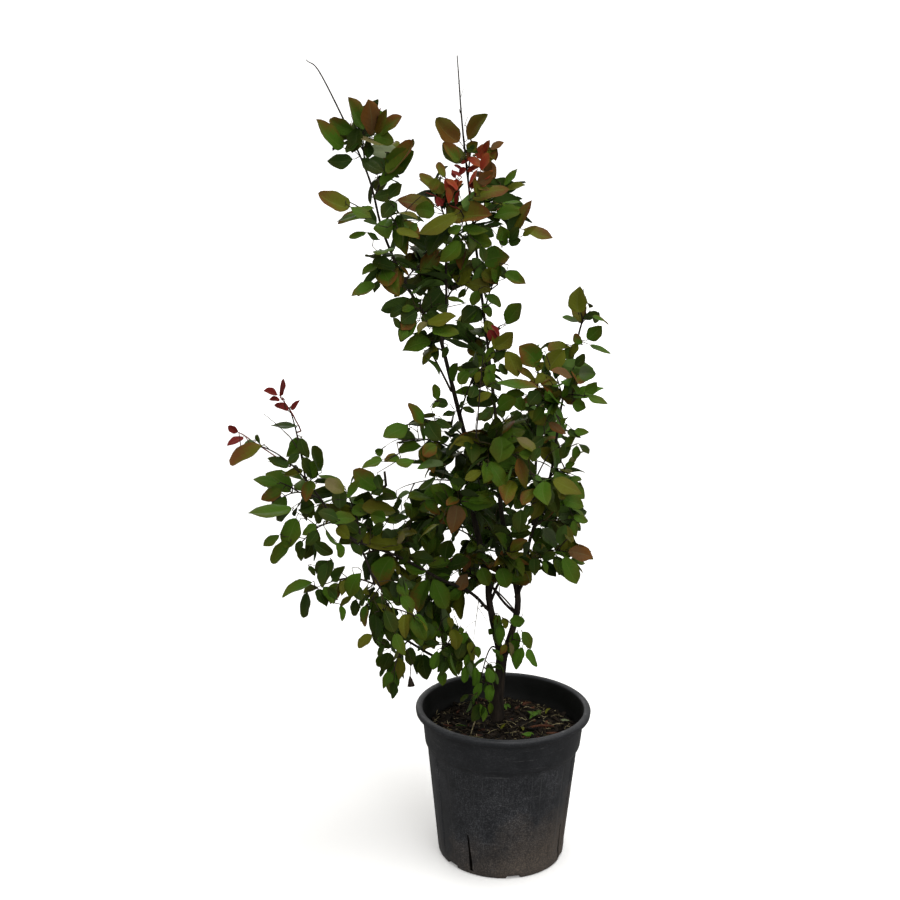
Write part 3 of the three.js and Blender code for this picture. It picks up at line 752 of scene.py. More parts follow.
# Leaves that the photo shows singly, by kind: pixels of the stalk's end and of the tip, and how wide
# the blade looks for its length. Each is carried by the nearest shoot behind it.
SHOWN_LEAVES = {
    "flushed": (
        (374, 135, 387, 109, 0.42), (461, 143, 436, 118, 0.55), (466, 141, 488, 114, 0.5),
        (436, 206, 441, 191, 0.45), (517, 456, 526, 489, 0.4),
    ),
    "olive": (
        (436, 180, 443, 194, 0.8), (503, 191, 526, 185, 0.4), (459, 213, 418, 234, 0.46),
        (394, 229, 419, 237, 0.42), (425, 322, 457, 316, 0.4), (486, 318, 494, 340, 0.5),
        (487, 320, 497, 334, 0.5), (579, 315, 580, 286, 0.66), (578, 340, 571, 357, 0.4),
        (492, 349, 513, 332, 0.62), (506, 349, 518, 377, 0.55), (566, 348, 548, 370, 0.65),
        (481, 370, 476, 383, 0.55), (535, 372, 544, 362, 0.5), (545, 372, 535, 384, 0.6),
        (493, 392, 477, 401, 0.5), (527, 410, 546, 425, 0.6), (305, 470, 283, 476, 0.4),
        (483, 470, 465, 480, 0.5), (551, 479, 582, 494, 0.38), (398, 512, 362, 508, 0.34),
        (351, 540, 336, 528, 0.5), (405, 548, 359, 541, 0.4), (353, 596, 340, 607, 0.4),
        (452, 599, 447, 616, 0.4), (463, 588, 461, 620, 0.28), (447, 616, 451, 630, 0.45),
        (497, 613, 496, 626, 0.5), (502, 617, 506, 629, 0.5), (373, 633, 358, 648, 0.42),
        (452, 627, 456, 650, 0.6), (469, 640, 473, 662, 0.32), (399, 655, 399, 680, 0.4),
    ),
    "tipped": (
        (366, 131, 348, 97, 0.42), (378, 136, 402, 116, 0.5), (345, 149, 316, 119, 0.42),
        (461, 162, 443, 143, 0.5), (385, 175, 413, 140, 0.4), (482, 262, 510, 257, 0.85),
        (504, 271, 526, 284, 0.5), (376, 282, 351, 296, 0.45), (418, 318, 401, 330, 0.6),
        (583, 345, 574, 334, 0.55), (545, 351, 524, 364, 0.45), (540, 367, 519, 346, 0.65),
        (494, 382, 540, 388, 0.22), (425, 425, 408, 403, 0.45), (438, 444, 423, 456, 0.75),
        (401, 457, 384, 461, 0.55), (311, 478, 306, 502, 0.5), (283, 489, 261, 500, 0.5),
        (379, 489, 353, 470, 0.5), (423, 500, 440, 515, 0.5), (393, 555, 378, 586, 0.62),
        (430, 577, 418, 612, 0.42), (366, 603, 365, 627, 0.45),
    ),
    "bronze": (
        (466, 153, 478, 142, 0.65), (489, 146, 496, 161, 0.6), (487, 163, 497, 152, 0.5),
        (438, 176, 431, 190, 0.6), (441, 189, 419, 174, 0.5), (446, 180, 438, 162, 0.45),
        (476, 186, 490, 190, 0.5), (470, 199, 509, 189, 0.4), (480, 196, 474, 178, 0.5),
        (352, 208, 318, 193, 0.5), (437, 205, 397, 200, 0.46), (451, 217, 492, 215, 0.52),
        (515, 232, 532, 200, 0.34), (521, 229, 553, 238, 0.4), (521, 237, 536, 226, 0.4),
        (482, 269, 498, 284, 0.6), (573, 347, 548, 351, 0.35), (497, 351, 493, 332, 0.5),
        (537, 383, 517, 368, 0.36), (553, 377, 530, 385, 0.25), (265, 444, 230, 465, 0.38),
        (506, 643, 500, 655, 0.5),
    ),
    "deep": (
        (358, 126, 352, 153, 0.6), (361, 139, 346, 153, 0.5), (385, 152, 398, 163, 0.6),
        (466, 145, 478, 153, 0.6), (355, 159, 327, 161, 0.55), (360, 157, 384, 172, 0.5),
        (369, 160, 366, 140, 0.5), (372, 197, 400, 190, 0.5), (388, 198, 402, 184, 0.65),
        (397, 200, 382, 218, 0.7), (378, 225, 362, 206, 0.4), (381, 226, 363, 221, 0.3),
        (448, 218, 428, 256, 0.5), (509, 237, 523, 214, 0.55), (380, 240, 367, 233, 0.4),
        (481, 245, 484, 262, 0.5), (507, 241, 521, 240, 0.75), (508, 243, 519, 227, 0.55),
        (497, 262, 505, 279, 0.5), (398, 268, 372, 262, 0.45), (378, 279, 374, 293, 0.5),
        (404, 286, 394, 297, 0.5), (466, 287, 458, 298, 0.5), (443, 290, 420, 312, 0.6),
        (405, 306, 390, 317, 0.6), (419, 311, 401, 323, 0.7), (424, 300, 404, 306, 0.45),
        (449, 304, 437, 310, 0.6), (479, 307, 462, 323, 0.8), (482, 323, 474, 305, 0.45),
        (582, 320, 597, 313, 0.55), (404, 330, 393, 318, 0.45), (448, 345, 442, 358, 0.5),
        (506, 344, 494, 363, 0.5), (499, 362, 507, 375, 0.5), (574, 367, 585, 354, 0.5),
        (489, 378, 501, 391, 0.5), (476, 384, 470, 398, 0.7), (541, 390, 528, 405, 0.7),
        (450, 404, 432, 405, 0.55), (494, 405, 482, 421, 0.6), (498, 404, 503, 418, 0.6),
        (514, 396, 497, 404, 0.7), (456, 412, 442, 416, 0.4), (459, 408, 465, 401, 0.4),
        (476, 412, 462, 408, 0.4), (490, 412, 477, 420, 0.5), (522, 411, 512, 421, 0.5),
        (300, 426, 269, 426, 0.25), (412, 427, 394, 435, 0.35), (427, 420, 441, 441, 0.7),
        (434, 420, 452, 428, 0.5), (566, 430, 581, 438, 0.5), (300, 436, 309, 458, 0.4),
        (545, 436, 530, 446, 0.6), (568, 440, 562, 459, 0.5), (578, 443, 589, 454, 0.45),
        (300, 452, 288, 464, 0.5), (540, 446, 532, 462, 0.5), (291, 467, 267, 458, 0.4),
        (318, 479, 302, 458, 0.4), (322, 472, 312, 446, 0.2), (377, 473, 382, 489, 0.6),
        (437, 475, 420, 490, 0.3), (384, 489, 371, 494, 0.5), (372, 500, 394, 497, 0.35),
        (402, 498, 396, 510, 0.5), (323, 505, 318, 524, 0.45), (402, 512, 380, 513, 0.5),
        (504, 511, 521, 518, 0.4), (521, 507, 519, 533, 0.5), (532, 504, 524, 521, 0.5),
        (300, 520, 292, 542, 0.5), (340, 520, 318, 512, 0.5), (410, 517, 394, 519, 0.4),
        (541, 526, 535, 543, 0.5), (318, 530, 306, 545, 0.55), (372, 536, 384, 524, 0.5),
        (508, 535, 532, 533, 0.42), (298, 545, 301, 562, 0.5), (303, 540, 296, 552, 0.5),
        (350, 542, 362, 557, 0.4), (328, 560, 322, 588, 0.5), (330, 560, 316, 574, 0.5),
        (330, 558, 331, 574, 0.45), (436, 560, 412, 556, 0.5), (445, 560, 450, 540, 0.65),
        (534, 556, 535, 576, 0.6), (541, 560, 556, 553, 0.5), (308, 565, 315, 576, 0.4),
        (398, 566, 408, 551, 0.5), (446, 566, 470, 560, 0.4), (455, 570, 425, 577, 0.4),
        (317, 587, 327, 607, 0.4), (331, 582, 345, 566, 0.5), (350, 580, 362, 600, 0.4),
        (473, 577, 472, 591, 0.5), (308, 590, 303, 618, 0.35), (357, 597, 353, 616, 0.5),
        (338, 600, 328, 588, 0.5), (384, 608, 394, 632, 0.5), (375, 612, 374, 641, 0.45),
        (385, 644, 378, 657, 0.4), (410, 645, 411, 666, 0.5), (456, 640, 461, 662, 0.7),
        (465, 640, 458, 659, 0.65), (391, 651, 382, 671, 0.6), (422, 652, 417, 675, 0.38),
        (423, 652, 427, 680, 0.42), (447, 659, 441, 676, 0.5), (453, 655, 441, 651, 0.6),
        (394, 680, 392, 699, 0.45), (484, 703, 472, 722, 0.45),
    ),
    "sage": (
        (580, 322, 562, 317, 0.35), (577, 374, 596, 374, 0.75), (254, 440, 243, 446, 0.5),
        (446, 464, 417, 469, 0.26), (541, 526, 558, 551, 0.45), (442, 604, 445, 632, 0.25),
        (467, 659, 472, 677, 0.25),
    ),
    "green": (
        (371, 137, 394, 142, 0.6), (383, 171, 414, 151, 0.6), (378, 186, 405, 168, 0.45),
        (503, 187, 518, 168, 0.35), (500, 203, 523, 203, 0.3), (349, 206, 372, 218, 0.45),
        (355, 215, 375, 208, 0.4), (362, 213, 336, 222, 0.3), (437, 213, 415, 209, 0.7),
        (418, 222, 408, 232, 0.6), (460, 226, 489, 231, 0.45), (463, 225, 448, 232, 0.6),
        (491, 218, 520, 212, 0.5), (368, 232, 349, 238, 0.45), (462, 240, 440, 262, 0.5),
        (502, 248, 508, 229, 0.45), (503, 243, 500, 225, 0.75), (380, 262, 362, 275, 0.4),
        (500, 263, 495, 283, 0.4), (497, 285, 492, 268, 0.5), (479, 289, 472, 306, 0.65),
        (484, 294, 501, 307, 0.45), (416, 307, 402, 311, 0.5), (466, 303, 447, 299, 0.3),
        (478, 310, 461, 322, 0.5), (482, 302, 491, 317, 0.5), (418, 320, 400, 342, 0.5),
        (407, 328, 401, 341, 0.65), (430, 328, 459, 334, 0.45), (505, 326, 521, 303, 0.55),
        (433, 340, 402, 351, 0.5), (493, 345, 486, 362, 0.5), (566, 344, 570, 363, 0.5),
        (586, 341, 602, 326, 0.6), (588, 344, 611, 354, 0.3), (470, 370, 459, 384, 0.7),
        (489, 370, 489, 388, 0.75), (496, 362, 486, 378, 0.5), (452, 383, 458, 363, 0.42),
        (453, 392, 476, 393, 0.42), (514, 391, 524, 411, 0.55), (580, 395, 571, 385, 0.5),
        (584, 393, 597, 382, 0.6), (586, 395, 608, 404, 0.35), (438, 402, 434, 384, 0.45),
        (441, 401, 432, 408, 0.4), (500, 398, 525, 394, 0.4), (543, 405, 532, 422, 0.55),
        (562, 398, 568, 388, 0.5), (571, 403, 586, 408, 0.75), (497, 411, 516, 398, 0.6),
        (410, 424, 383, 437, 0.5), (561, 425, 566, 418, 0.5), (573, 430, 589, 432, 0.55),
        (302, 437, 286, 457, 0.55), (450, 436, 440, 444, 0.6), (501, 434, 498, 463, 0.85),
        (375, 454, 383, 449, 0.7), (424, 446, 398, 452, 0.4), (517, 452, 537, 461, 0.5),
        (562, 447, 576, 436, 0.4), (577, 444, 575, 459, 0.6), (384, 462, 371, 458, 0.4),
        (384, 459, 362, 468, 0.4), (416, 460, 396, 463, 0.45), (306, 478, 318, 460, 0.5),
        (564, 468, 575, 463, 0.6), (568, 477, 582, 480, 0.4), (280, 484, 253, 479, 0.42),
        (346, 500, 360, 480, 0.4), (399, 499, 382, 488, 0.6), (561, 499, 584, 507, 0.55),
        (294, 508, 247, 513, 0.3), (350, 508, 372, 512, 0.5), (572, 515, 588, 522, 0.45),
        (297, 516, 285, 548, 0.55), (317, 523, 302, 535, 0.6), (388, 520, 370, 515, 0.7),
        (405, 520, 384, 520, 0.36), (573, 518, 576, 537, 0.4), (281, 534, 263, 546, 0.45),
        (508, 529, 532, 527, 0.3), (291, 541, 271, 563, 0.42), (336, 541, 341, 558, 0.4),
        (553, 551, 571, 557, 0.3), (452, 560, 428, 566, 0.4), (468, 560, 452, 557, 0.4),
        (543, 559, 547, 574, 0.4), (563, 555, 577, 584, 0.5), (362, 571, 349, 597, 0.5),
        (428, 572, 404, 566, 0.45), (452, 575, 433, 586, 0.5), (480, 566, 488, 586, 0.65),
        (500, 566, 507, 588, 0.6), (314, 581, 282, 598, 0.3), (322, 585, 334, 604, 0.55),
        (432, 577, 446, 609, 0.5), (400, 594, 412, 614, 0.5), (463, 589, 449, 600, 0.5),
        (340, 604, 342, 622, 0.35), (498, 613, 499, 646, 0.3), (461, 626, 461, 634, 0.8),
        (494, 628, 489, 635, 0.7), (521, 630, 531, 649, 0.4), (475, 645, 479, 658, 0.5),
        (469, 652, 466, 668, 0.4), (393, 671, 383, 689, 0.5), (443, 669, 443, 686, 0.6),
        (479, 702, 483, 722, 0.4), (492, 702, 490, 714, 0.4),
    ),
    "rose": (
        (372, 138, 368, 99, 0.4), (473, 148, 468, 158, 0.5), (489, 150, 504, 142, 0.5),
        (478, 160, 495, 179, 0.55), (473, 172, 494, 178, 0.4), (486, 178, 492, 161, 0.4),
        (476, 184, 493, 172, 0.6), (574, 377, 551, 371, 0.4), (547, 421, 566, 434, 0.4),
        (458, 503, 451, 534, 0.6), (566, 551, 593, 557, 0.55), (469, 553, 464, 572, 0.5),
        (468, 572, 459, 590, 0.6),
    ),
    "red": (
        (371, 127, 381, 108, 0.3), (470, 158, 461, 164, 0.4), (456, 179, 452, 169, 0.5),
        (458, 177, 466, 168, 0.5), (462, 177, 451, 171, 0.4), (464, 171, 454, 165, 0.4),
        (471, 191, 476, 175, 0.45), (436, 196, 443, 206, 0.6), (445, 198, 437, 207, 0.5),
        (455, 206, 460, 190, 0.35), (497, 342, 489, 330, 0.6), (500, 338, 491, 325, 0.35),
        (279, 395, 263, 391, 0.42), (280, 398, 284, 379, 0.4), (281, 400, 269, 400, 0.45),
        (290, 411, 274, 405, 0.36), (290, 410, 300, 400, 0.4), (239, 433, 228, 426, 0.6),
        (245, 436, 227, 446, 0.4),
    ),
    "flame": (
        (372, 124, 376, 110, 0.35), (484, 153, 490, 140, 0.5), (466, 156, 481, 167, 0.5),
        (477, 160, 486, 143, 0.6), (445, 176, 453, 197, 0.5), (459, 178, 449, 191, 0.42),
        (466, 172, 480, 166, 0.5), (480, 172, 489, 153, 0.42), (459, 191, 446, 180, 0.38),
        (468, 186, 478, 168, 0.32), (480, 187, 493, 178, 0.5), (482, 180, 493, 170, 0.4),
        (452, 193, 463, 181, 0.4), (449, 205, 447, 187, 0.32),
    ),
    "pale": (
        (401, 150, 366, 150, 0.48),
    ),
    "tan": (
        (359, 136, 385, 145, 0.3), (428, 320, 418, 334, 0.45), (515, 436, 536, 453, 0.4),
        (324, 478, 344, 492, 0.5), (397, 545, 404, 531, 0.4), (509, 640, 512, 659, 0.3),
    ),
    "fresh": (
        (386, 128, 378, 110, 0.5), (500, 622, 500, 646, 0.42), (508, 621, 525, 621, 0.7),
        (466, 631, 463, 644, 0.65), (518, 630, 514, 650, 0.5), (523, 645, 516, 670, 0.4),
        (527, 647, 537, 667, 0.4), (438, 649, 433, 670, 0.45), (467, 663, 464, 683, 0.45),
        (476, 665, 474, 686, 0.45), (487, 666, 492, 683, 0.5), (483, 681, 475, 698, 0.4),
        (488, 683, 490, 703, 0.5),
    ),
}

# Bare twigs and stubs, with a seed head last: pixels of the foot and the tip, and the radii there
SHOWN_TWIGS = (
    (460.8, 97, 463.7, 88.4, 0.4, 0.3), (461, 110, 462.8, 108.6, 0.4, 0.3),
    (464.6, 126, 468, 116.5, 0.5, 0.3), (355, 127, 350.5, 114, 0.5, 0.3),
    (458.7, 83.5, 459.8, 80.5, 0.9, 0.4), (460.2, 113, 459.2, 109, 0.9, 0.4),
    (311, 470, 290, 437, 1.0, 0.8), (290, 437, 264, 414, 0.8, 0.5), (386, 486, 384.5, 471.5, 2.3, 2.0),
    (479, 598, 473.6, 639, 0.7, 0.35), (477.6, 607, 486.6, 621, 0.5, 0.3), (475, 621, 465.8, 628, 0.4, 0.3),
    (458.4, 627, 454, 615.5, 0.7, 0.5), (523, 614, 522.6, 606, 0.5, 0.3), (486, 606, 480.5, 606.5, 2.1, 1.9),
    (476, 437, 483, 356, 1.4, 0.7), (451, 391, 431, 352, 2.0, 1.6), (411, 664, 410, 678, 0.8, 0.8),
    (410, 677, 411, 686, 1.8, 6.5),
)

# Red young stems under the tips at the left
RED_TWIGS = (
    (301, 431, 296, 421, 1.2, 1.2), (296, 421, 290, 410, 1.2, 1.1), (290, 410, 280, 397, 1.1, 0.9),
    (290, 467, 252, 441, 1.1, 1.0), (252, 441, 238, 432, 1.0, 0.8),
)

# Sky that shows between leaves in the photo: pixel and radius of round gaps
GAPS = (
    (362, 84, 15), (335, 108, 11), (350, 113, 7), (392, 104, 9), (399, 132, 6), (322, 147, 6),
    (316, 135, 5), (316, 190, 5), (320, 203, 7), (345, 183, 9), (361, 180, 9), (340, 214, 5), (350, 226, 6),
    (345, 240, 12), (352, 252, 11), (363, 250, 6), (350, 272, 9), (330, 270, 18), (385, 302, 9),
    (372, 300, 9), (388, 320, 9), (345, 325, 28), (392, 338, 6), (372, 360, 34), (355, 400, 40),
    (408, 120, 12), (418, 128, 9), (425, 150, 12), (426, 165, 11), (440, 157, 6), (408, 174, 9),
    (407, 187, 5), (448, 108, 7), (470, 104, 10), (484, 100, 8), (492, 106, 8), (500, 120, 8),
    (502, 138, 9), (520, 172, 8), (500, 172, 5), (536, 200, 9), (542, 215, 7), (530, 216, 5), (516, 258, 6),
    (487, 250, 4), (475, 253, 4), (540, 262, 16), (530, 276, 8), (548, 300, 14), (536, 285, 8),
    (512, 290, 9), (496, 318, 8), (503, 330, 5), (528, 322, 10), (545, 330, 13), (530, 337, 8),
    (515, 340, 5), (556, 310, 14), (448, 295, 4), (457, 302, 4), (408, 366, 9), (395, 385, 12),
    (425, 375, 10), (432, 388, 6), (408, 396, 8), (402, 415, 7), (428, 405, 6), (452, 378, 9),
    (448, 348, 7), (473, 353, 4), (455, 415, 4), (466, 412, 6), (478, 420, 5), (468, 426, 5),
    (375, 430, 11), (362, 443, 8), (386, 446, 6), (373, 443, 6), (414, 433, 6), (430, 437, 6),
    (416, 451, 4), (402, 477, 13), (388, 470, 7), (417, 474, 8), (440, 483, 5), (519, 372, 7),
    (505, 376, 6), (503, 388, 5), (515, 388, 5), (528, 390, 5), (525, 402, 4), (568, 392, 5), (572, 413, 5),
    (590, 425, 9), (604, 368, 7), (595, 410, 8), (574, 422, 6), (593, 460, 9), (580, 470, 5),
    (600, 470, 12), (588, 480, 5), (590, 492, 5), (590, 505, 4), (597, 520, 10), (592, 537, 9),
    (586, 528, 5), (597, 570, 10), (585, 590, 12), (560, 600, 18), (540, 612, 13), (545, 650, 20),
    (522, 632, 12), (250, 425, 9), (252, 458, 5), (268, 441, 6), (262, 428, 6), (278, 414, 5),
    (295, 397, 6), (305, 408, 8), (318, 446, 7), (325, 430, 8), (325, 455, 6), (333, 465, 8), (346, 478, 6),
    (350, 470, 7), (375, 470, 6), (256, 490, 6), (262, 526, 8), (268, 550, 7), (283, 568, 7), (288, 579, 7),
    (295, 602, 5), (300, 580, 6), (310, 530, 7), (318, 600, 9), (352, 550, 6), (352, 573, 10),
    (343, 564, 8), (363, 561, 6), (345, 640, 18), (370, 650, 9), (368, 670, 10), (365, 690, 14),
    (377, 682, 6), (410, 672, 6), (404, 692, 9), (418, 686, 8), (430, 690, 6), (463, 598, 4), (478, 592, 5),
    (503, 599, 8), (508, 584, 4), (465, 618, 13), (480, 635, 10), (487, 655, 8), (486, 615, 5),
    (505, 640, 5), (290, 498, 6), (360, 493, 6), (385, 503, 5), (312, 491, 4), (348, 504, 4), (388, 523, 5),
    (450, 487, 5), (430, 491, 4), (452, 465, 5), (541, 470, 6), (549, 476, 4), (565, 461, 5), (588, 490, 7),
    (586, 505, 6), (465, 539, 5), (448, 537, 4), (355, 198, 5), (345, 199, 5), (330, 210, 6), (517, 200, 5),
    (362, 263, 5), (364, 273, 4), (288, 433, 4), (290, 416, 4), (271, 453, 4), (344, 569, 6), (497, 548, 4),
    (455, 576, 4), (512, 223, 4), (303, 418, 5), (290, 396, 5), (318, 432, 5), (360, 197, 8), (418, 189, 6),
    (459, 115, 6), (490, 128, 7), (524, 194, 4), (516, 262, 4), (364, 243, 4), (273, 470, 7), (293, 431, 4),
    (274, 445, 4), (290, 500, 5), (346, 505, 6), (380, 500, 5), (389, 503, 4), (405, 487, 5), (420, 486, 6),
    (440, 482, 5), (389, 525, 7), (432, 412, 5), (430, 432, 4), (448, 416, 5), (466, 432, 5), (476, 428, 4),
    (482, 424, 4), (464, 536, 6), (447, 533, 5), (492, 544, 5), (564, 410, 4), (522, 570, 4), (449, 575, 5),
    (462, 350, 5), (470, 353, 3), (517, 358, 4), (503, 294, 5), (331, 530, 4), (346, 570, 6), (343, 507, 4),
    (566, 295, 7), (593, 293, 6), (601, 300, 7), (607, 313, 6), (571, 332, 4), (592, 330, 3),
)


def limb_tree():
    """Places along the limbs with the radii there, to keep leaves off them."""
    spots, limb_radii = [], []
    for name, (radii, *_) in LIMBS.items():
        line = limb_lines[name]
        steps = round(line.length / LIMB_STEP)
        spots += line.points(steps)
        limb_radii += [radii[0] + (radii[1] - radii[0]) * (step / steps) for step in range(steps + 1)]
    tree = kdtree.KDTree(len(spots))
    for index, spot in enumerate(spots):
        tree.insert(spot, index)
    tree.balance()
    return tree, limb_radii


# How far in front of a leaf that the photo shows others are kept away, and where it is wide
FRONT_ROOM = 8
FRONT_SHARES = (0.2, 0.5, 0.8)
FRONT_WIDTH = 0.4


class Crown:
    """All the leaves, each with room of its own."""

    def __init__(self):
        self.leaves = []
        self.stalks = []
        self.red_stalks = []
        self.cells = {}
        self.tree, self.radii = limb_tree()
        self.clear = [(x, y, radius, math.inf) for x, y, radius in GAPS]

    def cell(self, point):
        return tuple(math.floor(value / LEAF_APART) for value in point)

    def crowded(self, point):
        x, y, z = self.cell(point)
        near = (
            other
            for i in (x - 1, x, x + 1) for j in (y - 1, y, y + 1) for k in (z - 1, z, z + 1)
            for other in self.cells.get((i, j, k), ())
        )
        return any((other - point).length < LEAF_APART for other in near)

    def on_limb(self, leaf):
        for share in (0.3, 0.6, 1):
            _, index, away = self.tree.find(leaf.middle(share))
            if away < self.radii[index] + LIMB_ROOM:
                return True
        return False

    def stay_behind(self, leaf):
        """Keeps other leaves from growing in front of this one."""
        for share in FRONT_SHARES:
            place = leaf.middle(share)
            radius = leaf.length * leaf.width * FRONT_WIDTH * FOCAL_PIXELS / -CAMERA_PLACE.y
            self.clear.append((*in_photo(place), radius, place.y + FRONT_ROOM))

    def in_gap(self, point):
        x, y = in_photo(point)
        return any((x - other_x) ** 2 + (y - other_y) ** 2 < radius**2 for other_x, other_y, radius in GAPS)

    def hides(self, probes):
        """Whether a leaf would fill a gap or hide a leaf that the photo shows."""
        clear = np.array(self.clear)
        for point in probes:
            x, y = in_photo(point)
            near = (clear[:, 0] - x) ** 2 + (clear[:, 1] - y) ** 2 < clear[:, 2] ** 2
            if (clear[near, 3] > point.y).any():
                return True
        return False

    def keep(self, leaf):
        self.leaves.append(leaf)
        self.cells.setdefault(self.cell(leaf.belly()), []).append(leaf.belly())


def spray_face(mass, shoot, number):
    """The way that one shoot's leaves face: up, and out to the plant's broad sides."""
    outward = shoot.line.point(0.5) - CROWN_AXIS
    outward.z = 0
    outward.x *= CROWN_FLATTENING
    rise, out, chance = SPRAY_FACES
    draw = dice(SEED + 977 * mass.index + 31 * number)
    return (rise * UP + out * outward.normalized() + chance * lean(draw)).normalized()


# Where shown leaves stand: how much a carrier in front is preferred, the step between places on it,
# how far before it a leaf starts, how its tip's depth falls out, and from what gap on it gets a stalk
FRONT_FIRST = 0.12
SKELETON_STEP = 5
BEFORE_CARRIER = 6
TIP_DEPTH = (0.5, 0.9)
STALK_FROM = 2
SHOWN_STALK_RADII = (0.8, 0.55)

# The least width of a shown leaf's blade for its length, how much wider it is made, how much less it
# arches, and the size of a photo pixel in millimetres
EDGE_ON = 0.6
SHOWN_WIDER = 1.12
SHOWN_ARCH = 0.5
PIXEL_SIZE = 1.65
RED_KINDS = ("red", "flame")


class Skeleton:
    """Places along all limbs and shoots, with where each falls in the photo."""

    def __init__(self, masses):
        self.spots, self.owners = [], []
        self.pixels, self.depths = np.empty((0, 2)), np.empty(0)
        for line in limb_lines.values():
            self.add(line)
        for mass in masses:
            for shoot in mass.shoots:
                self.add(shoot.line, shoot)

    def add(self, line, shoot=None):
        """Takes in a line, which is a shoot's or is made in any case."""
        steps = max(4, round(line.length / SKELETON_STEP))
        spots = line.points(steps)
        self.spots += spots
        self.owners += [(shoot, step / steps) for step in range(steps + 1)]
        self.pixels = np.vstack([self.pixels, [in_photo(spot) for spot in spots]])
        self.depths = np.append(self.depths, [spot.y for spot in spots])

    def behind(self, x, y):
        """The place that carries something at a pixel: near it in the photo, and rather in front."""
        away = np.hypot(self.pixels[:, 0] - x, self.pixels[:, 1] - y)
        index = int(np.argmin(away + FRONT_FIRST * self.depths))
        shoot, share = self.owners[index]
        if shoot:
            shoot.carry(share)
        return self.spots[index]


def shown_leaf(row, kind, carrier, draw):
    """A leaf of the photo, turned until its blade looks as wide as it does there."""
    x, y, tip_x, tip_y, ratio = row
    root = at_pixel(x, y, carrier.y - BEFORE_CARRIER)
    reach = math.hypot(tip_x - x, tip_y - y) * PIXEL_SIZE
    tip = at_pixel(tip_x, tip_y, root.y + reach * TIP_DEPTH[0] * (draw() - TIP_DEPTH[1]))
    turn = math.acos(min(1, ratio / EDGE_ON))
    along = (tip - root).normalized()
    face = max((turned(-VIEW_AHEAD, along, hand * turn) for hand in (1, -1)), key=lambda way: way.z)
    length = (tip - root).length
    leaf = Leaf(root, along, face, length, kind, draw, SHOWN_WIDER * max(EDGE_ON, ratio))
    leaf.arch *= SHOWN_ARCH
    leaf.width /= math.cos(leaf.fold)
    leaf.length = (length - leaf.petiole) * (leaf.arch / 2) / math.sin(leaf.arch / 2)
    return leaf


def add_shown_leaves(crown, skeleton):
    """The leaves that the photo shows singly, with their stalks."""
    rows = [(row, kind) for kind, members in SHOWN_LEAVES.items() for row in members]
    for count, (row, kind) in enumerate(rows):
        carrier = skeleton.behind(*row[:2])
        leaf = shown_leaf(row, kind, carrier, dice(SEED + 40009 + 17 * count))
        crown.keep(leaf)
        crown.stay_behind(leaf)
        if (carrier - leaf.root).length > STALK_FROM:
            stalks = crown.red_stalks if kind in RED_KINDS else crown.stalks
            stalks.append((straight(carrier, leaf.root), SHOWN_STALK_RADII))


def add_shown_twigs(crown, skeleton):
    """The bare twigs that the photo shows, each of which may carry the next."""
    for stalks, twigs in ((crown.stalks, SHOWN_TWIGS), (crown.red_stalks, RED_TWIGS)):
        for x, y, tip_x, tip_y, radius, tip_radius in twigs:
            carrier = skeleton.behind(x, y)
            foot, tip = at_pixel(x, y, carrier.y - 2), at_pixel(tip_x, tip_y, carrier.y - 4)
            line = bowed(foot, tip, 1)
            stalks.append((line, (radius, tip_radius)))
            stalks.append((straight(carrier, foot), (radius, radius)))
            skeleton.add(line)


# Kinds of leaves by place: the lowest height and the place furthest left, and each kind with the share
# of sprays up to and with it
KINDS_BY_PLACE = (
    (1150, -math.inf, (("tipped", 0.4), ("bronze", 0.75), ("olive", 0.88), ("deep", 1))),
    (980, -math.inf, (("tipped", 0.3), ("bronze", 0.45), ("olive", 0.62), ("green", 0.82), ("deep", 1))),
    (600, 40, (
        ("tipped", 0.1), ("bronze", 0.15), ("olive", 0.28), ("fresh", 0.6), ("green", 0.88), ("deep", 1))),
    (600, -math.inf, (
        ("tipped", 0.1), ("bronze", 0.15), ("olive", 0.28), ("fresh", 0.36), ("green", 0.72), ("deep", 1))),
    (480, -math.inf, (("tipped", 0.05), ("bronze", 0.09), ("olive", 0.2), ("green", 0.55), ("deep", 1))),
    (0, -math.inf, (("olive", 0.05), ("fresh", 0.3), ("green", 0.65), ("deep", 1))),
)


def spray_kind(point, draw):
    """The kind of a spray's leaves, by where it is in the crown."""
    chance = draw()
    kinds = next(kinds for low, left, kinds in KINDS_BY_PLACE if point.z > low and point.x > left)
    return next(kind for kind, share in kinds if chance <= share)


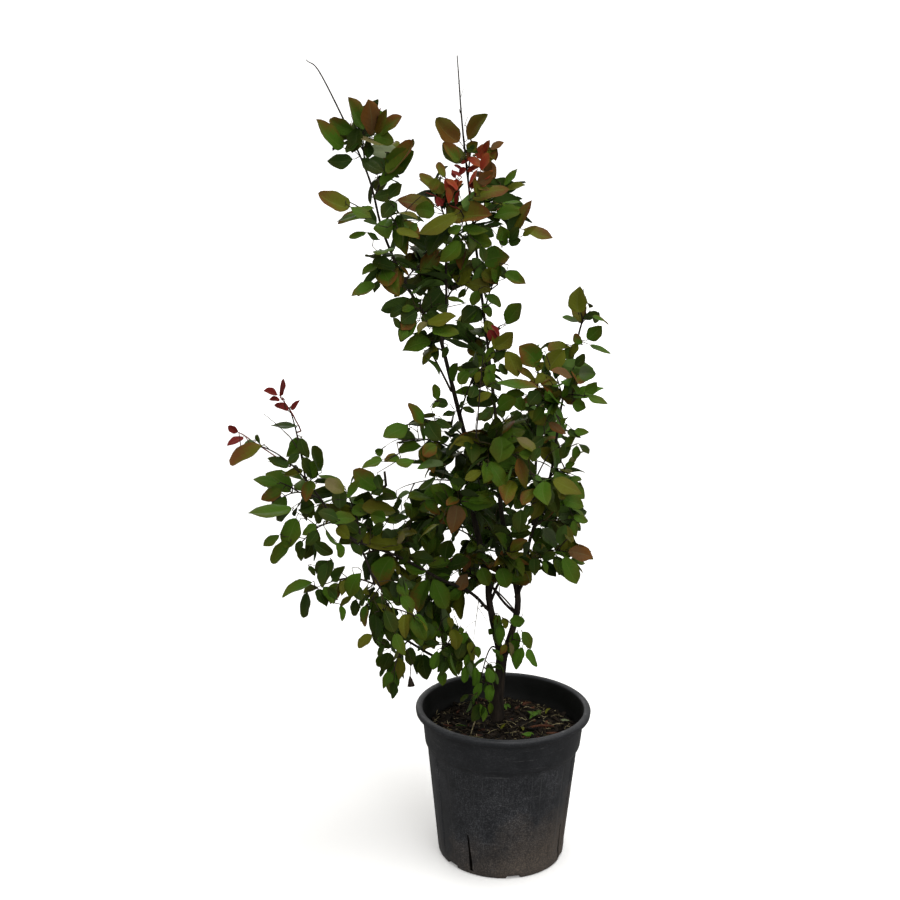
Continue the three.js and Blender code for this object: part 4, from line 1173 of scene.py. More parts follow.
def grow_leaves(mass, crown):
    """Leaves in two rows along each shoot, with one at its tip."""
    hanging = mass.tip.z < HANGING_BELOW and mass.tip.x < HANGING_LEFT_OF
    height = max(0, min(1, (mass.tip.z - LARGER_FROM) / (LARGER_TO - LARGER_FROM)))
    leaf_size = mass.leaf * (TRUE_LEAF + HIGHER_LEAF * height)
    shared, rise, chance = LEAF_FACES
    for number, shoot in enumerate(mass.shoots):
        spray = spray_face(mass, shoot, number)
        spray_draw = dice(SEED + 53 * mass.index + 7 * number)
        kind = spray_kind(shoot.line.point(0.7), spray_draw)
        nodes = max(1, round(shoot.line.length * (1 - shoot.bare) / LEAF_NODE))
        missing = 0
        if shoot.parent and shoot.root_share > shoot.parent.reached:
            continue
        for node in range(nodes + 1):
            draw = dice(SEED + 100 * mass.index + 10007 * (number + 1) + 131 * node)
            share = shoot.bare + (1 - shoot.bare) * node / nodes
            if number and (missing > MOST_MISSING or crown.in_gap(shoot.line.point(share))):
                shoot.reached = share
                break
            ahead = shoot.line.along(share)
            face = (shared * spray + rise * UP + chance * lean(draw)).normalized()
            hand = 1 if node % 2 == 0 else -1
            spread = TIP_SPREAD if node == nodes else LEAF_SPREAD
            side = face.cross(ahead).normalized()
            droop = (HANGING_DROOP if hanging else DROOP) * (0.4 + draw())
            along = (LEAF_AHEAD * ahead + hand * spread * side - droop * UP).normalized()
            size = leaf_size * (LEAF_SIZES[0] + LEAF_SIZES[1] * draw())
            own = kind if draw() < OWN_KIND else spray_kind(shoot.line.point(share), draw)
            missing += 1
            if fit_leaf(mass, crown, shoot.line.point(share), along, face, size, own, draw):
                shoot.carry(share)
                missing = 0


def fit_leaf(mass, crown, root, along, face, size, kind, draw):
    """A leaf that leaves the space, touches a limb, crowds another or fills a gap is left out."""
    for share in LEAF_SHARES:
        for roll in LEAF_ROLLS:
            leaf = Leaf(root, along, turned(face, along, roll), size * share, kind, draw)
            probes = leaf.probes()
            if not all(mass.inside(point, RAGGED) for point in probes):
                continue
            if crown.on_limb(leaf) or crown.crowded(probes[1]) or crown.hides(probes):
                continue
            crown.keep(leaf)
            return True
    return False


# Lengths of the rings of shoots and stalks, and the radius up to which a shoot has young bark
SHOOT_RING = 9
STALK_RING = 6
YOUNG_RADIUS = 1


def make_twigs(masses, crown):
    """The masses' stems and twigs, and every leaf's stalk."""
    woody, young, red = Shape(), Shape(), Shape()
    for mass in masses:
        for shoot in mass.shoots:
            if shoot.used:
                steps = max(3, round(shoot.line.length * shoot.used / SHOOT_RING))
                shape = woody if shoot.radii[0] > YOUNG_RADIUS else young
                shape.tube(shoot.made(), shoot.radii, shoot.sides, steps)
    for leaf in crown.leaves:
        shape = red if leaf.kind in RED_KINDS else young
        shape.tube(straight(leaf.root, leaf.middle(LEAF_ROWS[0])), STALK_RADII, 4, 1)
    for radii, places in CROSSING:
        crown.stalks.append((through(places), radii))
    for shape, stalks, sides in ((woody, crown.stalks, 7), (red, crown.red_stalks, 6)):
        for line, radii in stalks:
            shape.tube(line, radii, sides, max(2, round(line.length / STALK_RING)))
    looks = (
        ("twigs", woody, "twig_bark", (0.009, 0.007, 0.005), (0.036, 0.024, 0.017), 0.15),
        ("young_twigs", young, "young_bark", (0.022, 0.016, 0.008), (0.055, 0.042, 0.016), 0.1),
        ("red_twigs", red, "red_bark", (0.075, 0.010, 0.008), (0.150, 0.022, 0.014), 0.1),
    )
    for name, shape, look, dark, light, ridge in looks:
        make_piece(name, shape.points, shape.faces, [bark_material(look, dark, light, ridge)])


# Leaves

LEAF_BODY = 0.35
UNEVEN = 0.07
UNEVEN_WAVES = 12
MARGIN_WAVES = 9
KEEL = 0.5

# Zones of colour from the foot's midrib out to the margin and the tip, and what moves a face outward
ZONES = 6
RIB = ZONES
UNDERSIDE = ZONES + 1
TO_MARGIN = 0.4
TO_TIP = 1.05
TIP_FROM = 0.2
ONE_SIDED = 0.22
RIB_SHARE = 0.2
UNDER_SHARE = 0.2

# Linear colours
DARK = (0.017, 0.035, 0.004)
GREEN = (0.040, 0.086, 0.006)
FRESH = (0.052, 0.118, 0.009)
OLIVE = (0.076, 0.086, 0.006)
BRONZE = (0.102, 0.042, 0.008)
ROSE = (0.090, 0.050, 0.019)
RED = (0.110, 0.010, 0.008)
FLAME = (0.215, 0.026, 0.012)
PALE = (0.115, 0.138, 0.070)
SAGE = (0.058, 0.078, 0.034)
TAN = (0.125, 0.105, 0.042)
RIB_TINT = (0.120, 0.130, 0.040)

# Each kind of leaf: its colour at the midrib, and at the margin and tip
KINDS = {
    "deep": (DARK, (0.028, 0.036, 0.004)),
    "green": (GREEN, (0.050, 0.066, 0.005)),
    "fresh": (FRESH, GREEN),
    "olive": (OLIVE, (0.072, 0.066, 0.007)),
    "tipped": (GREEN, BRONZE),
    "bronze": (OLIVE, (0.095, 0.038, 0.009)),
    "flushed": ((0.080, 0.037, 0.005), (0.060, 0.062, 0.006)),
    "rose": (ROSE, BRONZE),
    "red": (RED, (0.125, 0.014, 0.011)),
    "flame": (FLAME, (0.180, 0.052, 0.014)),
    "pale": (PALE, PALE),
    "sage": (SAGE, GREEN),
    "tan": (TAN, OLIVE),
}


def between(one, other, share):
    return tuple(a + (b - a) * share for a, b in zip(one, other))


def leaf_template():
    """Triangles of one leaf, their zones on leaves of either hand, and the points on the margin."""
    rows, columns = len(LEAF_ROWS), len(LEAF_COLUMNS)
    tip = 1 + rows * columns
    inner = tip + 1

    def top(row, column):
        return 1 + row * columns + column

    def under(row, column):
        if column in (0, columns - 1):
            return top(row, column)
        return inner + row * (columns - 2) + column - 1

    faces, zones = [], []

    def zone_of(row, column):
        """The zone of a face on a leaf that is tinted more on its left, and on its right."""
        out = (LEAF_COLUMNS[column] + LEAF_COLUMNS[column + 1]) / 2
        if column == columns // 2 - 1:
            return RIB, RIB
        share = LEAF_ROWS[min(row, rows - 1)]
        tint = TO_MARGIN * out**2 + TO_TIP * max(0, share - TIP_FROM)
        return tuple(max(0, min(ZONES - 1, int((tint + ONE_SIDED * hand * out) * ZONES))) for hand in (-1, 1))

    for at, flip in ((top, False), (under, True)):
        for column in range(columns - 1):
            quads = [(0, at(0, column + 1), at(0, column))]
            quads += [(at(rows - 1, column), at(rows - 1, column + 1), tip)]
            marks = [zone_of(0, column), zone_of(rows, column)]
            for row in range(rows - 1):
                a, b = at(row, column), at(row, column + 1)
                c, d = at(row + 1, column + 1), at(row + 1, column)
                quads += [(a, b, c), (a, c, d)]
                marks += [zone_of(row, column)] * 2
            for face, mark in zip(quads, marks):
                faces.append(face[::-1] if flip else face)
                zones.append((UNDERSIDE, UNDERSIDE) if flip else mark)
    margin = {0, tip} | {top(row, column) for row in range(rows) for column in (0, columns - 1)}
    return np.array(faces), np.array(zones).T, margin


def leaf_points(leaf):
    """All the points of a leaf, in the template's order."""
    shares = np.array(LEAF_ROWS)
    bend = leaf.arch * (shares - 0.5)
    ahead = (math.sin(leaf.arch / 2) + np.sin(bend)) / leaf.arch
    rise = (np.cos(bend) - math.cos(leaf.arch / 2)) / leaf.arch
    along, up, side = (np.array(vector) for vector in (leaf.along, leaf.up, leaf.side))
    origin = np.array(leaf.root) + along * leaf.petiole
    centre = origin + leaf.length * (np.outer(ahead, along) + np.outer(rise, up))
    normal = np.outer(np.cos(bend), up) + np.outer(np.sin(bend), along)
    twist = leaf.twist * (shares - 0.2)[:, None]
    across = side * np.cos(twist) + normal * np.sin(twist)
    normal = normal * np.cos(twist) - side * np.sin(twist)
    centre = centre + np.outer(leaf.sway * leaf.length * shares * (1 - shares), side)
    tapers = leaf.foot_taper + leaf.tip_taper
    widest = leaf.foot_taper / tapers
    peak = widest**leaf.foot_taper * (1 - widest) ** leaf.tip_taper
    half = leaf.length * leaf.width / 2 * shares**leaf.foot_taper * (1 - shares) ** leaf.tip_taper / peak
    half, shares = half[:, None], shares[:, None]
    columns = np.array(LEAF_COLUMNS)
    uneven = 1 + UNEVEN * np.sin(UNEVEN_WAVES * shares + leaf.phase + 1.7 * np.sign(columns))
    out = half * columns * uneven
    ripple = leaf.wave * leaf.length / 2 * np.sin(MARGIN_WAVES * shares + leaf.phase) * np.sign(columns)
    lift = (np.abs(out) - KEEL * half) * math.sin(leaf.fold) + (ripple - half * leaf.curl) * columns**2
    top = centre[:, None] + out[..., None] * across[:, None] * math.cos(leaf.fold)
    top = top + lift[..., None] * normal[:, None]
    under = top[:, 1:-1] - LEAF_BODY * normal[:, None]
    tip = np.array(leaf.middle(1))
    return np.concatenate([[origin], top.reshape(-1, 3), [tip], under.reshape(-1, 3)])


def leaf_layer():
    """Places across and along the leaf for each point of the template."""
    grid = [((column + 1) / 2, row) for row in LEAF_ROWS for column in LEAF_COLUMNS]
    inner = [((column + 1) / 2, row) for row in LEAF_ROWS for column in LEAF_COLUMNS[1:-1]]
    return np.array([(0.5, 0), *grid, (0.5, 1), *inner])


def make_leaves(crown):
    """One piece for each kind of leaf, with the zones of its upper side, its rib and its underside."""
    faces, zones, margin = leaf_template()
    layer = leaf_layer()
    for kind, (inner, outer) in KINDS.items():
        leaves = [leaf for leaf in crown.leaves if leaf.kind == kind]
        if not leaves:
            continue
        points = np.array([leaf_points(leaf) for leaf in leaves])
        size = points.shape[1]
        shifts = np.arange(len(leaves))[:, None, None] * size
        all_faces = (faces[None] + shifts).reshape(-1, 3)
        colours = [between(inner, outer, zone / (ZONES - 1)) for zone in range(ZONES)]
        colours.append(between(inner, RIB_TINT, RIB_SHARE))
        materials = [leaf_material(f"leaf_{kind}_{zone}", colour) for zone, colour in enumerate(colours)]
        under = between(inner, PALE, UNDER_SHARE)
        materials.append(leaf_material(f"leaf_{kind}_under", under, roughness=0.65, specular=0.04))
        piece = make_piece(f"leaves_{kind}", points.reshape(-1, 3), all_faces.tolist(), materials)
        mesh = piece.data
        marks = zones[[leaf.hand for leaf in leaves]]
        shifted = np.clip(marks + np.array([[leaf.tint] for leaf in leaves]), 0, ZONES - 1)
        mesh.polygons.foreach_set("material_index", np.where(marks < ZONES, shifted, marks).ravel())
        corners = np.zeros(len(mesh.loops), dtype=int)
        mesh.loops.foreach_get("vertex_index", corners)
        mesh.uv_layers.new(name="leaf").data.foreach_set("uv", layer[corners % size].ravel())
        ends = np.zeros(len(mesh.edges) * 2, dtype=int)
        mesh.edges.foreach_get("vertices", ends)
        on_margin = np.isin(ends % size, list(margin)).reshape(-1, 2).all(axis=1)
        mesh.edges.foreach_set("use_edge_sharp", on_margin)
        yield piece


# The pot

LIP_ROUND = 4.5
LIP_STEPS = 6
WALL_STEP = 6
COLLAR_RADIUS = WALL_TOP_RADIUS + COLLAR_STEP
SHOULDER_TOP = COLLAR_BOTTOM + COLLAR_SHOULDER
POT_STEPS = 384
FLAT_RADIUS = 70
WOBBLE = 0.35

# Flutes pressed into the wall: how many, how deep, where the first is, half a flute's width and its
# edge's as shares of their spacing, and the heights where flutes end
FLUTES = 16
FLUTE_DEPTH = 1.5
FLUTE_TURN = math.radians(-144.5)
FLUTE_HALF = 0.34
FLUTE_EDGE = 0.035
FLUTE_TOP = COLLAR_BOTTOM - 6
FLUTE_BOTTOM = 14


def pot_outside():
    """Radius and height from the underside's middle up the outside to the lip's lower edge."""
    lip_bottom = POT_HEIGHT - LIP_DEPTH
    neck = RIM_RADIUS - LIP_WIDTH
    slope = (WALL_TOP_RADIUS - BASE_RADIUS) / COLLAR_BOTTOM
    foot = [(0, 0), (60, 0), (78, 0), (92, 0), (BASE_RADIUS - 5, 0), (BASE_RADIUS - 2, 0.6), (BASE_RADIUS, 3)]
    wall = [(BASE_RADIUS + slope * height, height) for height in range(8, COLLAR_BOTTOM, WALL_STEP)]
    step = [(WALL_TOP_RADIUS, COLLAR_BOTTOM), (COLLAR_RADIUS - 0.8, SHOULDER_TOP - 0.8)]
    step += [(COLLAR_RADIUS, SHOULDER_TOP + 1)]
    widening, rise = neck - COLLAR_RADIUS, lip_bottom - SHOULDER_TOP
    shares = (0.2, 0.4, 0.6, 0.8, 0.97)
    collar = [(COLLAR_RADIUS + widening * share, SHOULDER_TOP + rise * share) for share in shares]
    return foot + wall + step + collar + [(neck + 0.8, lip_bottom + 0.3)]


def pot_inside():
    """Radius and height from the lip's lower edge over its round top and down to the floor."""
    lip_bottom = POT_HEIGHT - LIP_DEPTH
    inside = RIM_RADIUS - LIP_WIDTH - 1
    lip = [(RIM_RADIUS - 3, lip_bottom + 0.6), (RIM_RADIUS - 0.8, lip_bottom + 2)]
    for step in range(2 * LIP_STEPS + 1):
        angle = math.pi / 2 * step / LIP_STEPS
        middle = RIM_RADIUS - LIP_ROUND if step <= LIP_STEPS else inside + LIP_ROUND
        lip.append((middle + LIP_ROUND * math.cos(angle), POT_HEIGHT - LIP_ROUND * (1 - math.sin(angle))))
    inner = [(inside - 0.6, POT_HEIGHT - 14), (inside - 1.4, POT_HEIGHT - 30)]
    inner += [(COLLAR_RADIUS - WALL, SHOULDER_TOP), (WALL_TOP_RADIUS - WALL, COLLAR_BOTTOM)]
    return lip + inner + [(BASE_RADIUS - WALL, FLOOR), (0, FLOOR)]


def soft_step(value):
    value = max(0, min(1, value))
    return value * value * (3 - 2 * value)


def flute(angle, height):
    """How far the wall is pressed in at an angle and a height."""
    turn = (angle - FLUTE_TURN) * FLUTES / (2 * math.pi)
    away = abs(turn - round(turn))
    window = soft_step((FLUTE_TOP - height) / 5) * soft_step((height - FLUTE_BOTTOM) / 12)
    return FLUTE_DEPTH * soft_step((FLUTE_HALF - away) / FLUTE_EDGE) * window


def notch_lift(angle, radius, height):
    """How far the foot's edge rises in a notch."""
    turn = (angle - NOTCH_TURN) * NOTCHES / (2 * math.pi)
    away = abs(turn - round(turn)) * 2 * math.pi / NOTCHES * BASE_RADIUS
    inner = soft_step((radius - BASE_RADIUS + NOTCH_DEPTH / 2) / 3)
    return NOTCH_LIFT * soft_step((NOTCH_WIDTH / 2 - away) / 3) * inner * max(0, 1 - height / 9)


# The pot's linear colours, and heights in metres: where dust thins out, and where flutes' edges are worn
PLASTIC = ((0.007, 0.008, 0.010), (0.014, 0.015, 0.018))
DUST = (0.110, 0.113, 0.124)
EARTH = (0.125, 0.096, 0.072)
SCUFF = (0.100, 0.100, 0.104)
# The near-black colour for faces inside the pot is painted shade, not the plastic's own colour
POT_INSIDE_SHADE = (0.0020, 0.0023, 0.0019)
DUSTY_HEIGHTS = (0.186, 0.206)
WORN_HEIGHTS = (0.020, 0.185, 0.192)


def worn_flutes(nodes, across, deep, height):
    """Scuffs along the flutes' edges, which are worn more toward their tops."""
    turn = nodes.maths("ARCTAN2", deep, across)
    per_turn = FLUTES / (2 * math.pi)
    away = nodes.maths("PINGPONG", nodes.maths("MULTIPLY_ADD", turn, per_turn, -FLUTE_TURN * per_turn), 0.5)
    edge = nodes.ramp(away, ((0.322, 0.0), (0.332, 1.0), (0.342, 0.0)))
    worn = nodes.maths("MULTIPLY", edge, nodes.ramp(nodes.noise(45, 4), ((0.42, 0.0), (0.66, 0.8))))
    return nodes.maths("MULTIPLY", worn, nodes.ramp(height, tuple(zip(WORN_HEIGHTS, (0.0, 1.0, 0.0)))))


def pot_material():
    """Black plastic: specks of dust on the wall, earth stains low down, scuffs, and painted shade inside,
    where faces that look inward are made near black.
    """
    nodes = Nodes("pot_plastic", roughness=0.5, specular=0.3)
    split = nodes.node("ShaderNodeSeparateXYZ")
    nodes.link(nodes.place, split.inputs["Vector"])
    across, deep, height = (split.outputs[axis] for axis in "XYZ")
    plain = nodes.ramp(nodes.noise(26, 4), tuple(zip((0.3, 0.75), PLASTIC)))
    wall = nodes.ramp(height, tuple(zip(DUSTY_HEIGHTS, (1.0, 0.35))))
    film = nodes.ramp(nodes.noise(13, 5, 0.7), ((0.36, 0.2), (0.66, 0.95)))
    specks = nodes.ramp(nodes.noise(430, 4, 0.8), ((0.47, 0.0), (0.64, 1.0)))
    dust = nodes.maths("MULTIPLY", nodes.maths("MULTIPLY", specks, film), wall)
    dusty = nodes.mix(dust, plain, DUST)
    cloud = nodes.noise(14, 6, 0.7)
    low = nodes.maths("MULTIPLY_ADD", height, -5.5, 0.32)
    low_right = nodes.maths("MULTIPLY_ADD", across, 2.4, low)
    stain = nodes.ramp(nodes.maths("MULTIPLY_ADD", cloud, 1.3, low_right), ((0.42, 0.0), (0.98, 1.0)))
    rubbed = nodes.maths("MULTIPLY", stain, nodes.ramp(specks, ((0.0, 0.3), (0.9, 0.95))))
    stained = nodes.mix(rubbed, dusty, EARTH)
    scuffs = nodes.ramp(nodes.noise(70, 5, 0.8, stretch=(0.3, 0.3, 3.4)), ((0.60, 0.0), (0.70, 0.75)))
    worn = nodes.maths("MAXIMUM", scuffs, worn_flutes(nodes, across, deep, height))
    scuffed = nodes.mix(worn, stained, SCUFF)
    # Faces that look in toward the pot's axis get a near-black colour: painted shade inside the pot
    facing = nodes.node("ShaderNodeVectorMath", operation="DOT_PRODUCT")
    nodes.link(nodes.node("ShaderNodeNewGeometry").outputs["Normal"], facing.inputs[0])
    nodes.link(nodes.place, facing.inputs[1])
    painted_inside_shade = nodes.ramp(nodes.maths("ADD", facing.outputs["Value"], 0.5), ((0.46, 1.0), (0.5, 0.0)))
    nodes.colour(nodes.mix(painted_inside_shade, scuffed, POT_INSIDE_SHADE))
    nodes.roughness(nodes.ramp(nodes.maths("ADD", cloud, dust), ((0.35, 0.42), (1.1, 0.85))))
    nodes.bump(nodes.noise(420, 4, 0.6), 0.2, 0.7)
    return nodes.material


def make_pot():
    outside, inside = pot_outside(), pot_inside()
    points = []
    for index, (radius, height) in enumerate(outside + inside):
        for angle in turns(POT_STEPS):
            out, lift = radius, 0
            if radius > FLAT_RADIUS:
                out += WOBBLE * math.sin(2 * angle + 0.6) * height / POT_HEIGHT
                if index < len(outside):
                    out -= flute(angle, height) if height < COLLAR_BOTTOM else 0
                    lift = notch_lift(angle, radius, height)
            points.append((out * math.cos(angle), out * math.sin(angle), height + lift))
    faces = skin(len(outside + inside), POT_STEPS)[2:]
    cut_slits(make_piece("nursery_pot", points, faces, [pot_material()], ["pot"]))


def cut_slits(piece):
    """The drain slits through the wall's foot, narrower at the top."""
    shape = Shape()
    ends = ((FLOOR + WALL, SLIT_WIDTHS[0], 0), (SLIT_TOP, SLIT_WIDTHS[1], -SLIT_LEAN))
    for angle in turns(SLITS):
        turn = Matrix.Rotation(SLIT_TURN + angle, 3, "Z")
        corners = []
        for height, width, aside in ends:
            for out, side in ((-1, -1), (1, -1), (1, 1), (-1, 1)):
                place = Vector((BASE_RADIUS + WALL + out * SLIT_DEPTH / 2, aside + side * width / 2, height))
                corners.append(turn @ place)
        shape.add(corners, skin(2, 4))
    tool = new_object("slit_tool", shape.points, shape.faces, smooth=False)
    cut = piece.modifiers.new("slits", "BOOLEAN")
    cut.operation = "DIFFERENCE"
    cut.solver = "EXACT"
    cut.object = tool
    bpy.context.view_layer.update()
    graph = bpy.context.evaluated_depsgraph_get()
    done = bpy.data.meshes.new_from_object(piece.evaluated_get(graph))
    piece.modifiers.clear()
    piece.data = done
    bpy.data.objects.remove(tool)


# Soil and litter

SOIL_RADIUS = COLLAR_RADIUS - WALL
SOIL_RINGS, SOIL_SIDES = 56, 160
SOIL_COLOURS = ((0.0025, 0.0020, 0.0016), (0.011, 0.008, 0.005))
FOOT_RISE, FOOT_SPREAD = 2.5, 22
TRUNK_FOOT = limb_lines["trunk"].point(0.1)
TRUNK_ROOM = 16

# Lumps of the soil: their width and height, and where in the noise they start
SOIL_LUMPS = ((26, 3.2, 3), (8, 1.7, 9), (3, 0.9, 5))


def from_trunk(x, y):
    return math.hypot(x - TRUNK_FOOT.x, y - TRUNK_FOOT.y)


def soil_height(x, y):
    """The height of the soil's rough top, a little lower at its edge and raised at the trunk."""
    edge = soft_step((math.hypot(x, y) / SOIL_RADIUS - 0.85) / 0.15)
    height = SOIL_TOP - SOIL_EDGE_DROP * edge + FOOT_RISE * math.exp(-((from_trunk(x, y) / FOOT_SPREAD) ** 2))
    for width, rise, start in SOIL_LUMPS:
        height += rise * noise.noise(Vector((x / width, y / width, start)))
    return height


def make_soil():
    radius = SOIL_RADIUS - 2 * CLEAR
    outline = [(0, FLOOR + CLEAR), (BASE_RADIUS - WALL - 2 * CLEAR, FLOOR + CLEAR)]
    outline += [(WALL_TOP_RADIUS - WALL - 2 * CLEAR, COLLAR_BOTTOM), (radius, SHOULDER_TOP)]
    rings = [(radius * (1 - ring / (SOIL_RINGS - 1)) + 0.01, 0) for ring in range(SOIL_RINGS)]
    points = rings_of(outline, SOIL_SIDES)
    points += [(x, y, soil_height(x, y)) for x, y, _ in rings_of(rings, SOIL_SIDES)]
    soil = grained_material("potting_soil", *SOIL_COLOURS, 130, 0.95, 0.8)
    faces = skin(len(outline) + SOIL_RINGS, SOIL_SIDES)
    make_piece("soil_body", points, faces, [soil], ["soil"])


def scatter(draw):
    """A place on the soil, clear of the trunk."""
    while True:
        radius = (SOIL_RADIUS - 8) * math.sqrt(draw())
        angle = 2 * math.pi * draw()
        x, y = radius * math.cos(angle), radius * math.sin(angle)
        if from_trunk(x, y) > TRUNK_ROOM:
            return x, y


def chip(shape, draw, length, width, thickness, tilt):
    """A splintered flake of bark that lies on the soil."""
    x, y = scatter(draw)
    turn = Matrix.Rotation(2 * math.pi * draw(), 3, "Z") @ Matrix.Rotation((draw() - 0.5) * tilt, 3, "Y")
    turn = turn @ Matrix.Rotation((draw() - 0.5) * tilt, 3, "X")
    centre = Vector((x, y, soil_height(x, y) + 0.4 * thickness + 0.25 * length * abs(turn[2][0])))
    points = []
    for share in (-0.5, -0.1, 0.3, 0.5):
        half = width / 2 * (0.55 if abs(share) == 0.5 else 1) * (0.7 + 0.6 * draw())
        for side, level in ((-1, -1), (1, -1), (0.8, 1), (-0.8, 1)):
            place = Vector((share * length, side * half, level * thickness / 2 * (0.7 + 0.5 * draw())))
            points.append(centre + turn @ place)
    shape.add(points, skin(4, 4))


def straw(shape, draw, length, radius):
    """A bent stalk or fibre on the soil."""
    x, y = scatter(draw)
    angle = 2 * math.pi * draw()
    half = Vector((math.cos(angle), math.sin(angle), 0)) * length / 2
    start, end = Vector((x, y, 0)) - half, Vector((x, y, 0)) + half
    limit = WALL_TOP_RADIUS - WALL - 4
    for place in (start, end):
        place.xy *= min(1, limit / max(1, place.xy.length))
        place.z = soil_height(place.x, place.y) + radius + 2.5 * draw()
    bow = max(0, soil_height(x, y) + radius - (start.z + end.z) / 2) + 1.5 * draw()
    shape.tube(bowed(start, end, bow), (radius, radius * 0.6), 4, 4)


# Torn bits of leaf and pale sticks on the soil: pixels of both ends, and a kind or a radius
SCRAPS = (
    (502, 705, 510, 711, "fresh"), (507, 712, 501, 708, "fresh"), (526, 712, 533, 719, "fresh"),
    (538, 712, 530, 721, "fresh"), (536, 711, 540, 718, "green"), (556, 721, 570, 722, "pale"),
    (455, 727, 466, 728, "fresh"), (520, 735, 533, 737, "fresh"), (519, 728, 523, 733, "olive"),
    (545, 715, 551, 712, "olive"), (500, 730, 506, 727, "olive"), (437, 705, 442, 703, "olive"),
)
STICKS = (
    (471, 735, 475, 723, 1.3), (488, 735, 497, 731, 0.7), (436, 712, 441, 702, 0.8), (548, 728, 563, 725, 1),
    (508, 724, 516, 727, 0.8),
)
LONG_CHIP = (529, 729, 554, 728)

# Litter by piece, in the order of its draws: how many bits, how far chips tilt (stalks have no tilt),
# sizes as the least one, what a draw adds and the draw's power, and a dark and a light colour
LITTER = {
    "bark_chips": (
        520, 0.9, ((4, 17, 2), (2.5, 6, 1), (0.9, 2.6, 1)), (0.0018, 0.0014, 0.0012), (0.020, 0.014, 0.009),
    ),
    "red_bark_chips": (
        30, 0.4, ((8, 22, 2), (2.5, 5, 1), (1, 2, 1)), (0.030, 0.011, 0.007), (0.085, 0.034, 0.018),
    ),
    "straw_bits": (
        230, None, ((5, 20, 2), (0.35, 0.45, 1)), (0.085, 0.072, 0.034), (0.280, 0.240, 0.140),
    ),
    "root_fibres": (
        190, None, ((8, 26, 1), (0.3, 0.5, 1)), (0.020, 0.015, 0.009), (0.080, 0.060, 0.036),
    ),
}


def on_soil(x, y):
    """The place on the soil behind a pixel of the photo."""
    ray = at_pixel(x, y, 0) - CAMERA_PLACE
    place = CAMERA_PLACE + ray * ((SOIL_TOP - CAMERA_PLACE.z) / ray.z)
    place.z = soil_height(place.x, place.y)
    return place


def add_scraps(crown):
    """Torn bits of leaf that lie on the soil."""
    for count, (x, y, tip_x, tip_y, kind) in enumerate(SCRAPS):
        draw = dice(SEED + 811 + 13 * count)
        root, tip = on_soil(x, y), on_soil(tip_x, tip_y)
        root.z += 2
        tip.z += 3 + 4 * draw()
        face = (UP + 0.9 * lean(draw)).normalized()
        leaf = Leaf(root, tip - root, face, (tip - root).length, kind, draw, 0.25 + 0.25 * draw())
        crown.leaves.append(leaf)


def lying(x, y, tip_x, tip_y, bow):
    """A bent line between two pixels, just above the soil."""
    return bowed(on_soil(x, y) + 2 * UP, on_soil(tip_x, tip_y) + 3 * UP, bow)


def make_litter():
    draw = dice(SEED + 5)
    shapes = {name: Shape() for name in LITTER}
    for name, (count, tilt, sizes, *_) in LITTER.items():
        for _ in range(count):
            values = [least + more * draw() ** power for least, more, power in sizes]
            if tilt:
                chip(shapes[name], draw, *values, tilt)
            else:
                straw(shapes[name], draw, *values)
    for *ends, radius in STICKS:
        shapes["straw_bits"].tube(lying(*ends, 2), (radius, 0.7 * radius), 7, 6)
    shapes["red_bark_chips"].tube(lying(*LONG_CHIP, 3), (2.4, 1.8), 6, 6)
    for name, shape in shapes.items():
        material = grained_material(f"{name}_look", *LITTER[name][-2:])
        make_piece(name, shape.points, shape.faces, [material], smooth=False)


# Stage: pale floor, soft light and the photo's camera

STAGE_REACH = 4200
STAGE_SIDES = 96
STAGE_COLOUR = (0.88, 0.88, 0.88, 1)
WALL_BEND = 1600
WALL_HEIGHT = 9000
BEND_STEPS = 12
FLOOR_GLOW = 0.12
WALL_GLOW = 0.6
DAYLIGHT = (1, 0.985, 0.95, 1)

# Strength of daylight by the height of its direction, from low to straight up
DAYLIGHT_RANGE = {"From Min": -0.4, "From Max": 1, "To Min": 0.25, "To Max": 1.15}

# Lamps: name, place and size in metres, and power in watts
LAMPS = (
    ("overhead", (0.9, -0.8, 5.5), 3, 145),
    ("front", (1.1, -3.1, 2.0), 2.2, 35),
    ("back", (-1.1, 3.3, 2.2), 2.2, 22),
)
LAMP_AIM = Vector((-0.1, 0, 0.6))


def make_stage():
    """A round pale floor and a wall about it that glows a little; neither throws light on the plant."""
    bends = [math.pi / 2 * step / BEND_STEPS for step in range(BEND_STEPS + 1)]
    wall = [(STAGE_REACH + WALL_BEND * math.sin(bend), WALL_BEND * (1 - math.cos(bend))) for bend in bends]
    wall.append((STAGE_REACH + WALL_BEND, WALL_HEIGHT))
    floor = [(1, 0), (STAGE_REACH, 0)]
    for name, profile, glow in (("floor", floor, FLOOR_GLOW), ("backdrop", wall, WALL_GLOW)):
        nodes = Nodes(name, roughness=0.9, specular=0.1)
        inputs = nodes.shader.inputs
        inputs["Base Color"].default_value = STAGE_COLOUR
        inputs["Emission Color"].default_value = (1, 1, 1, 1)
        inputs["Emission Strength"].default_value = glow
        faces = skin(len(profile), STAGE_SIDES)[2:]
        piece = new_object(name, rings_of(profile, STAGE_SIDES), faces, [nodes.material])
        piece.visible_diffuse = False
        piece.visible_glossy = False
        piece.visible_shadow = False


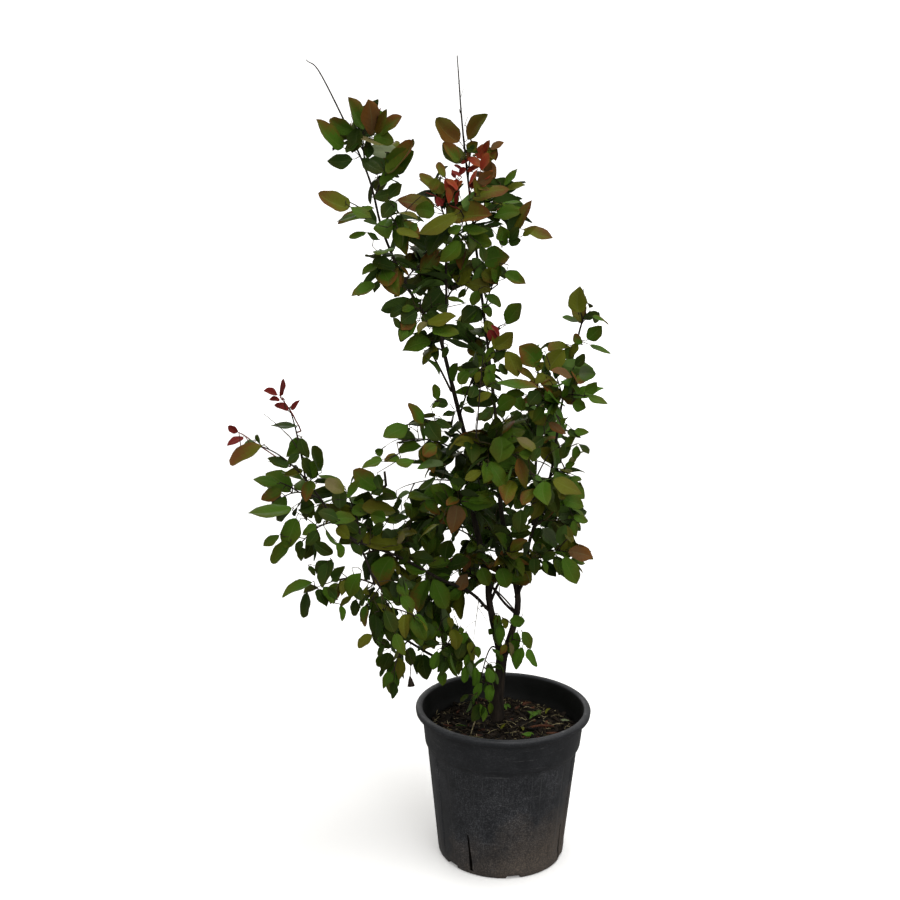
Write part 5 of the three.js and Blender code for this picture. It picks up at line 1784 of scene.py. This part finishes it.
def make_lamp(name, place, size, power):
    lamp = bpy.data.lights.new(name, "AREA")
    lamp.shape = "DISK"
    lamp.size = size
    lamp.energy = power
    light = bpy.data.objects.new(name, lamp)
    light.location = Vector(place)
    light.rotation_mode = "QUATERNION"
    light.rotation_quaternion = (LAMP_AIM - light.location).to_track_quat("-Z", "Y")
    bpy.context.scene.collection.objects.link(light)


def make_lights():
    """Soft daylight, brightest overhead and dim from below, and a large lamp above the plant."""
    world = bpy.data.worlds.new("studio")
    bpy.context.scene.world = world
    world.use_nodes = True
    tree = world.node_tree
    background = tree.nodes["Background"]
    background.inputs["Color"].default_value = DAYLIGHT
    split = tree.nodes.new("ShaderNodeSeparateXYZ")
    tree.links.new(tree.nodes.new("ShaderNodeTexCoord").outputs["Generated"], split.inputs["Vector"])
    rise = tree.nodes.new("ShaderNodeMapRange")
    for name, value in DAYLIGHT_RANGE.items():
        rise.inputs[name].default_value = value
    tree.links.new(split.outputs["Z"], rise.inputs["Value"])
    tree.links.new(rise.outputs["Result"], background.inputs["Strength"])
    for lamp in LAMPS:
        make_lamp(*lamp)


def make_camera():
    camera = bpy.data.objects.new("camera", bpy.data.cameras.new("camera"))
    camera.data.sensor_width = SENSOR_WIDTH
    camera.data.lens = FOCAL_PIXELS / PHOTO_SIDE * SENSOR_WIDTH
    turn = Matrix((VIEW_RIGHT, VIEW_UP, -VIEW_AHEAD)).transposed()
    camera.matrix_world = Matrix.Translation(CAMERA_PLACE * MM) @ turn.to_4x4()
    bpy.context.scene.collection.objects.link(camera)
    bpy.context.scene.camera = camera


# Assembly

make_camera()
make_stage()
make_lights()
bpy.context.scene.view_settings.view_transform = "Standard"

make_pot()
make_soil()
make_litter()
make_limbs()

masses = [Mass(index, *row) for index, row in enumerate(MASSES)]
crown = Crown()
for mass in masses:
    grow_twigs(mass)
skeleton = Skeleton(masses)
add_shown_leaves(crown, skeleton)
add_shown_twigs(crown, skeleton)
for mass in masses:
    grow_leaves(mass, crown)
make_twigs(masses, crown)
add_scraps(crown)
leaf_pieces = list(make_leaves(crown))
foliage_nodes = [name for name in frame["nodes"] if "_foliage_" in name]
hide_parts(*foliage_nodes)
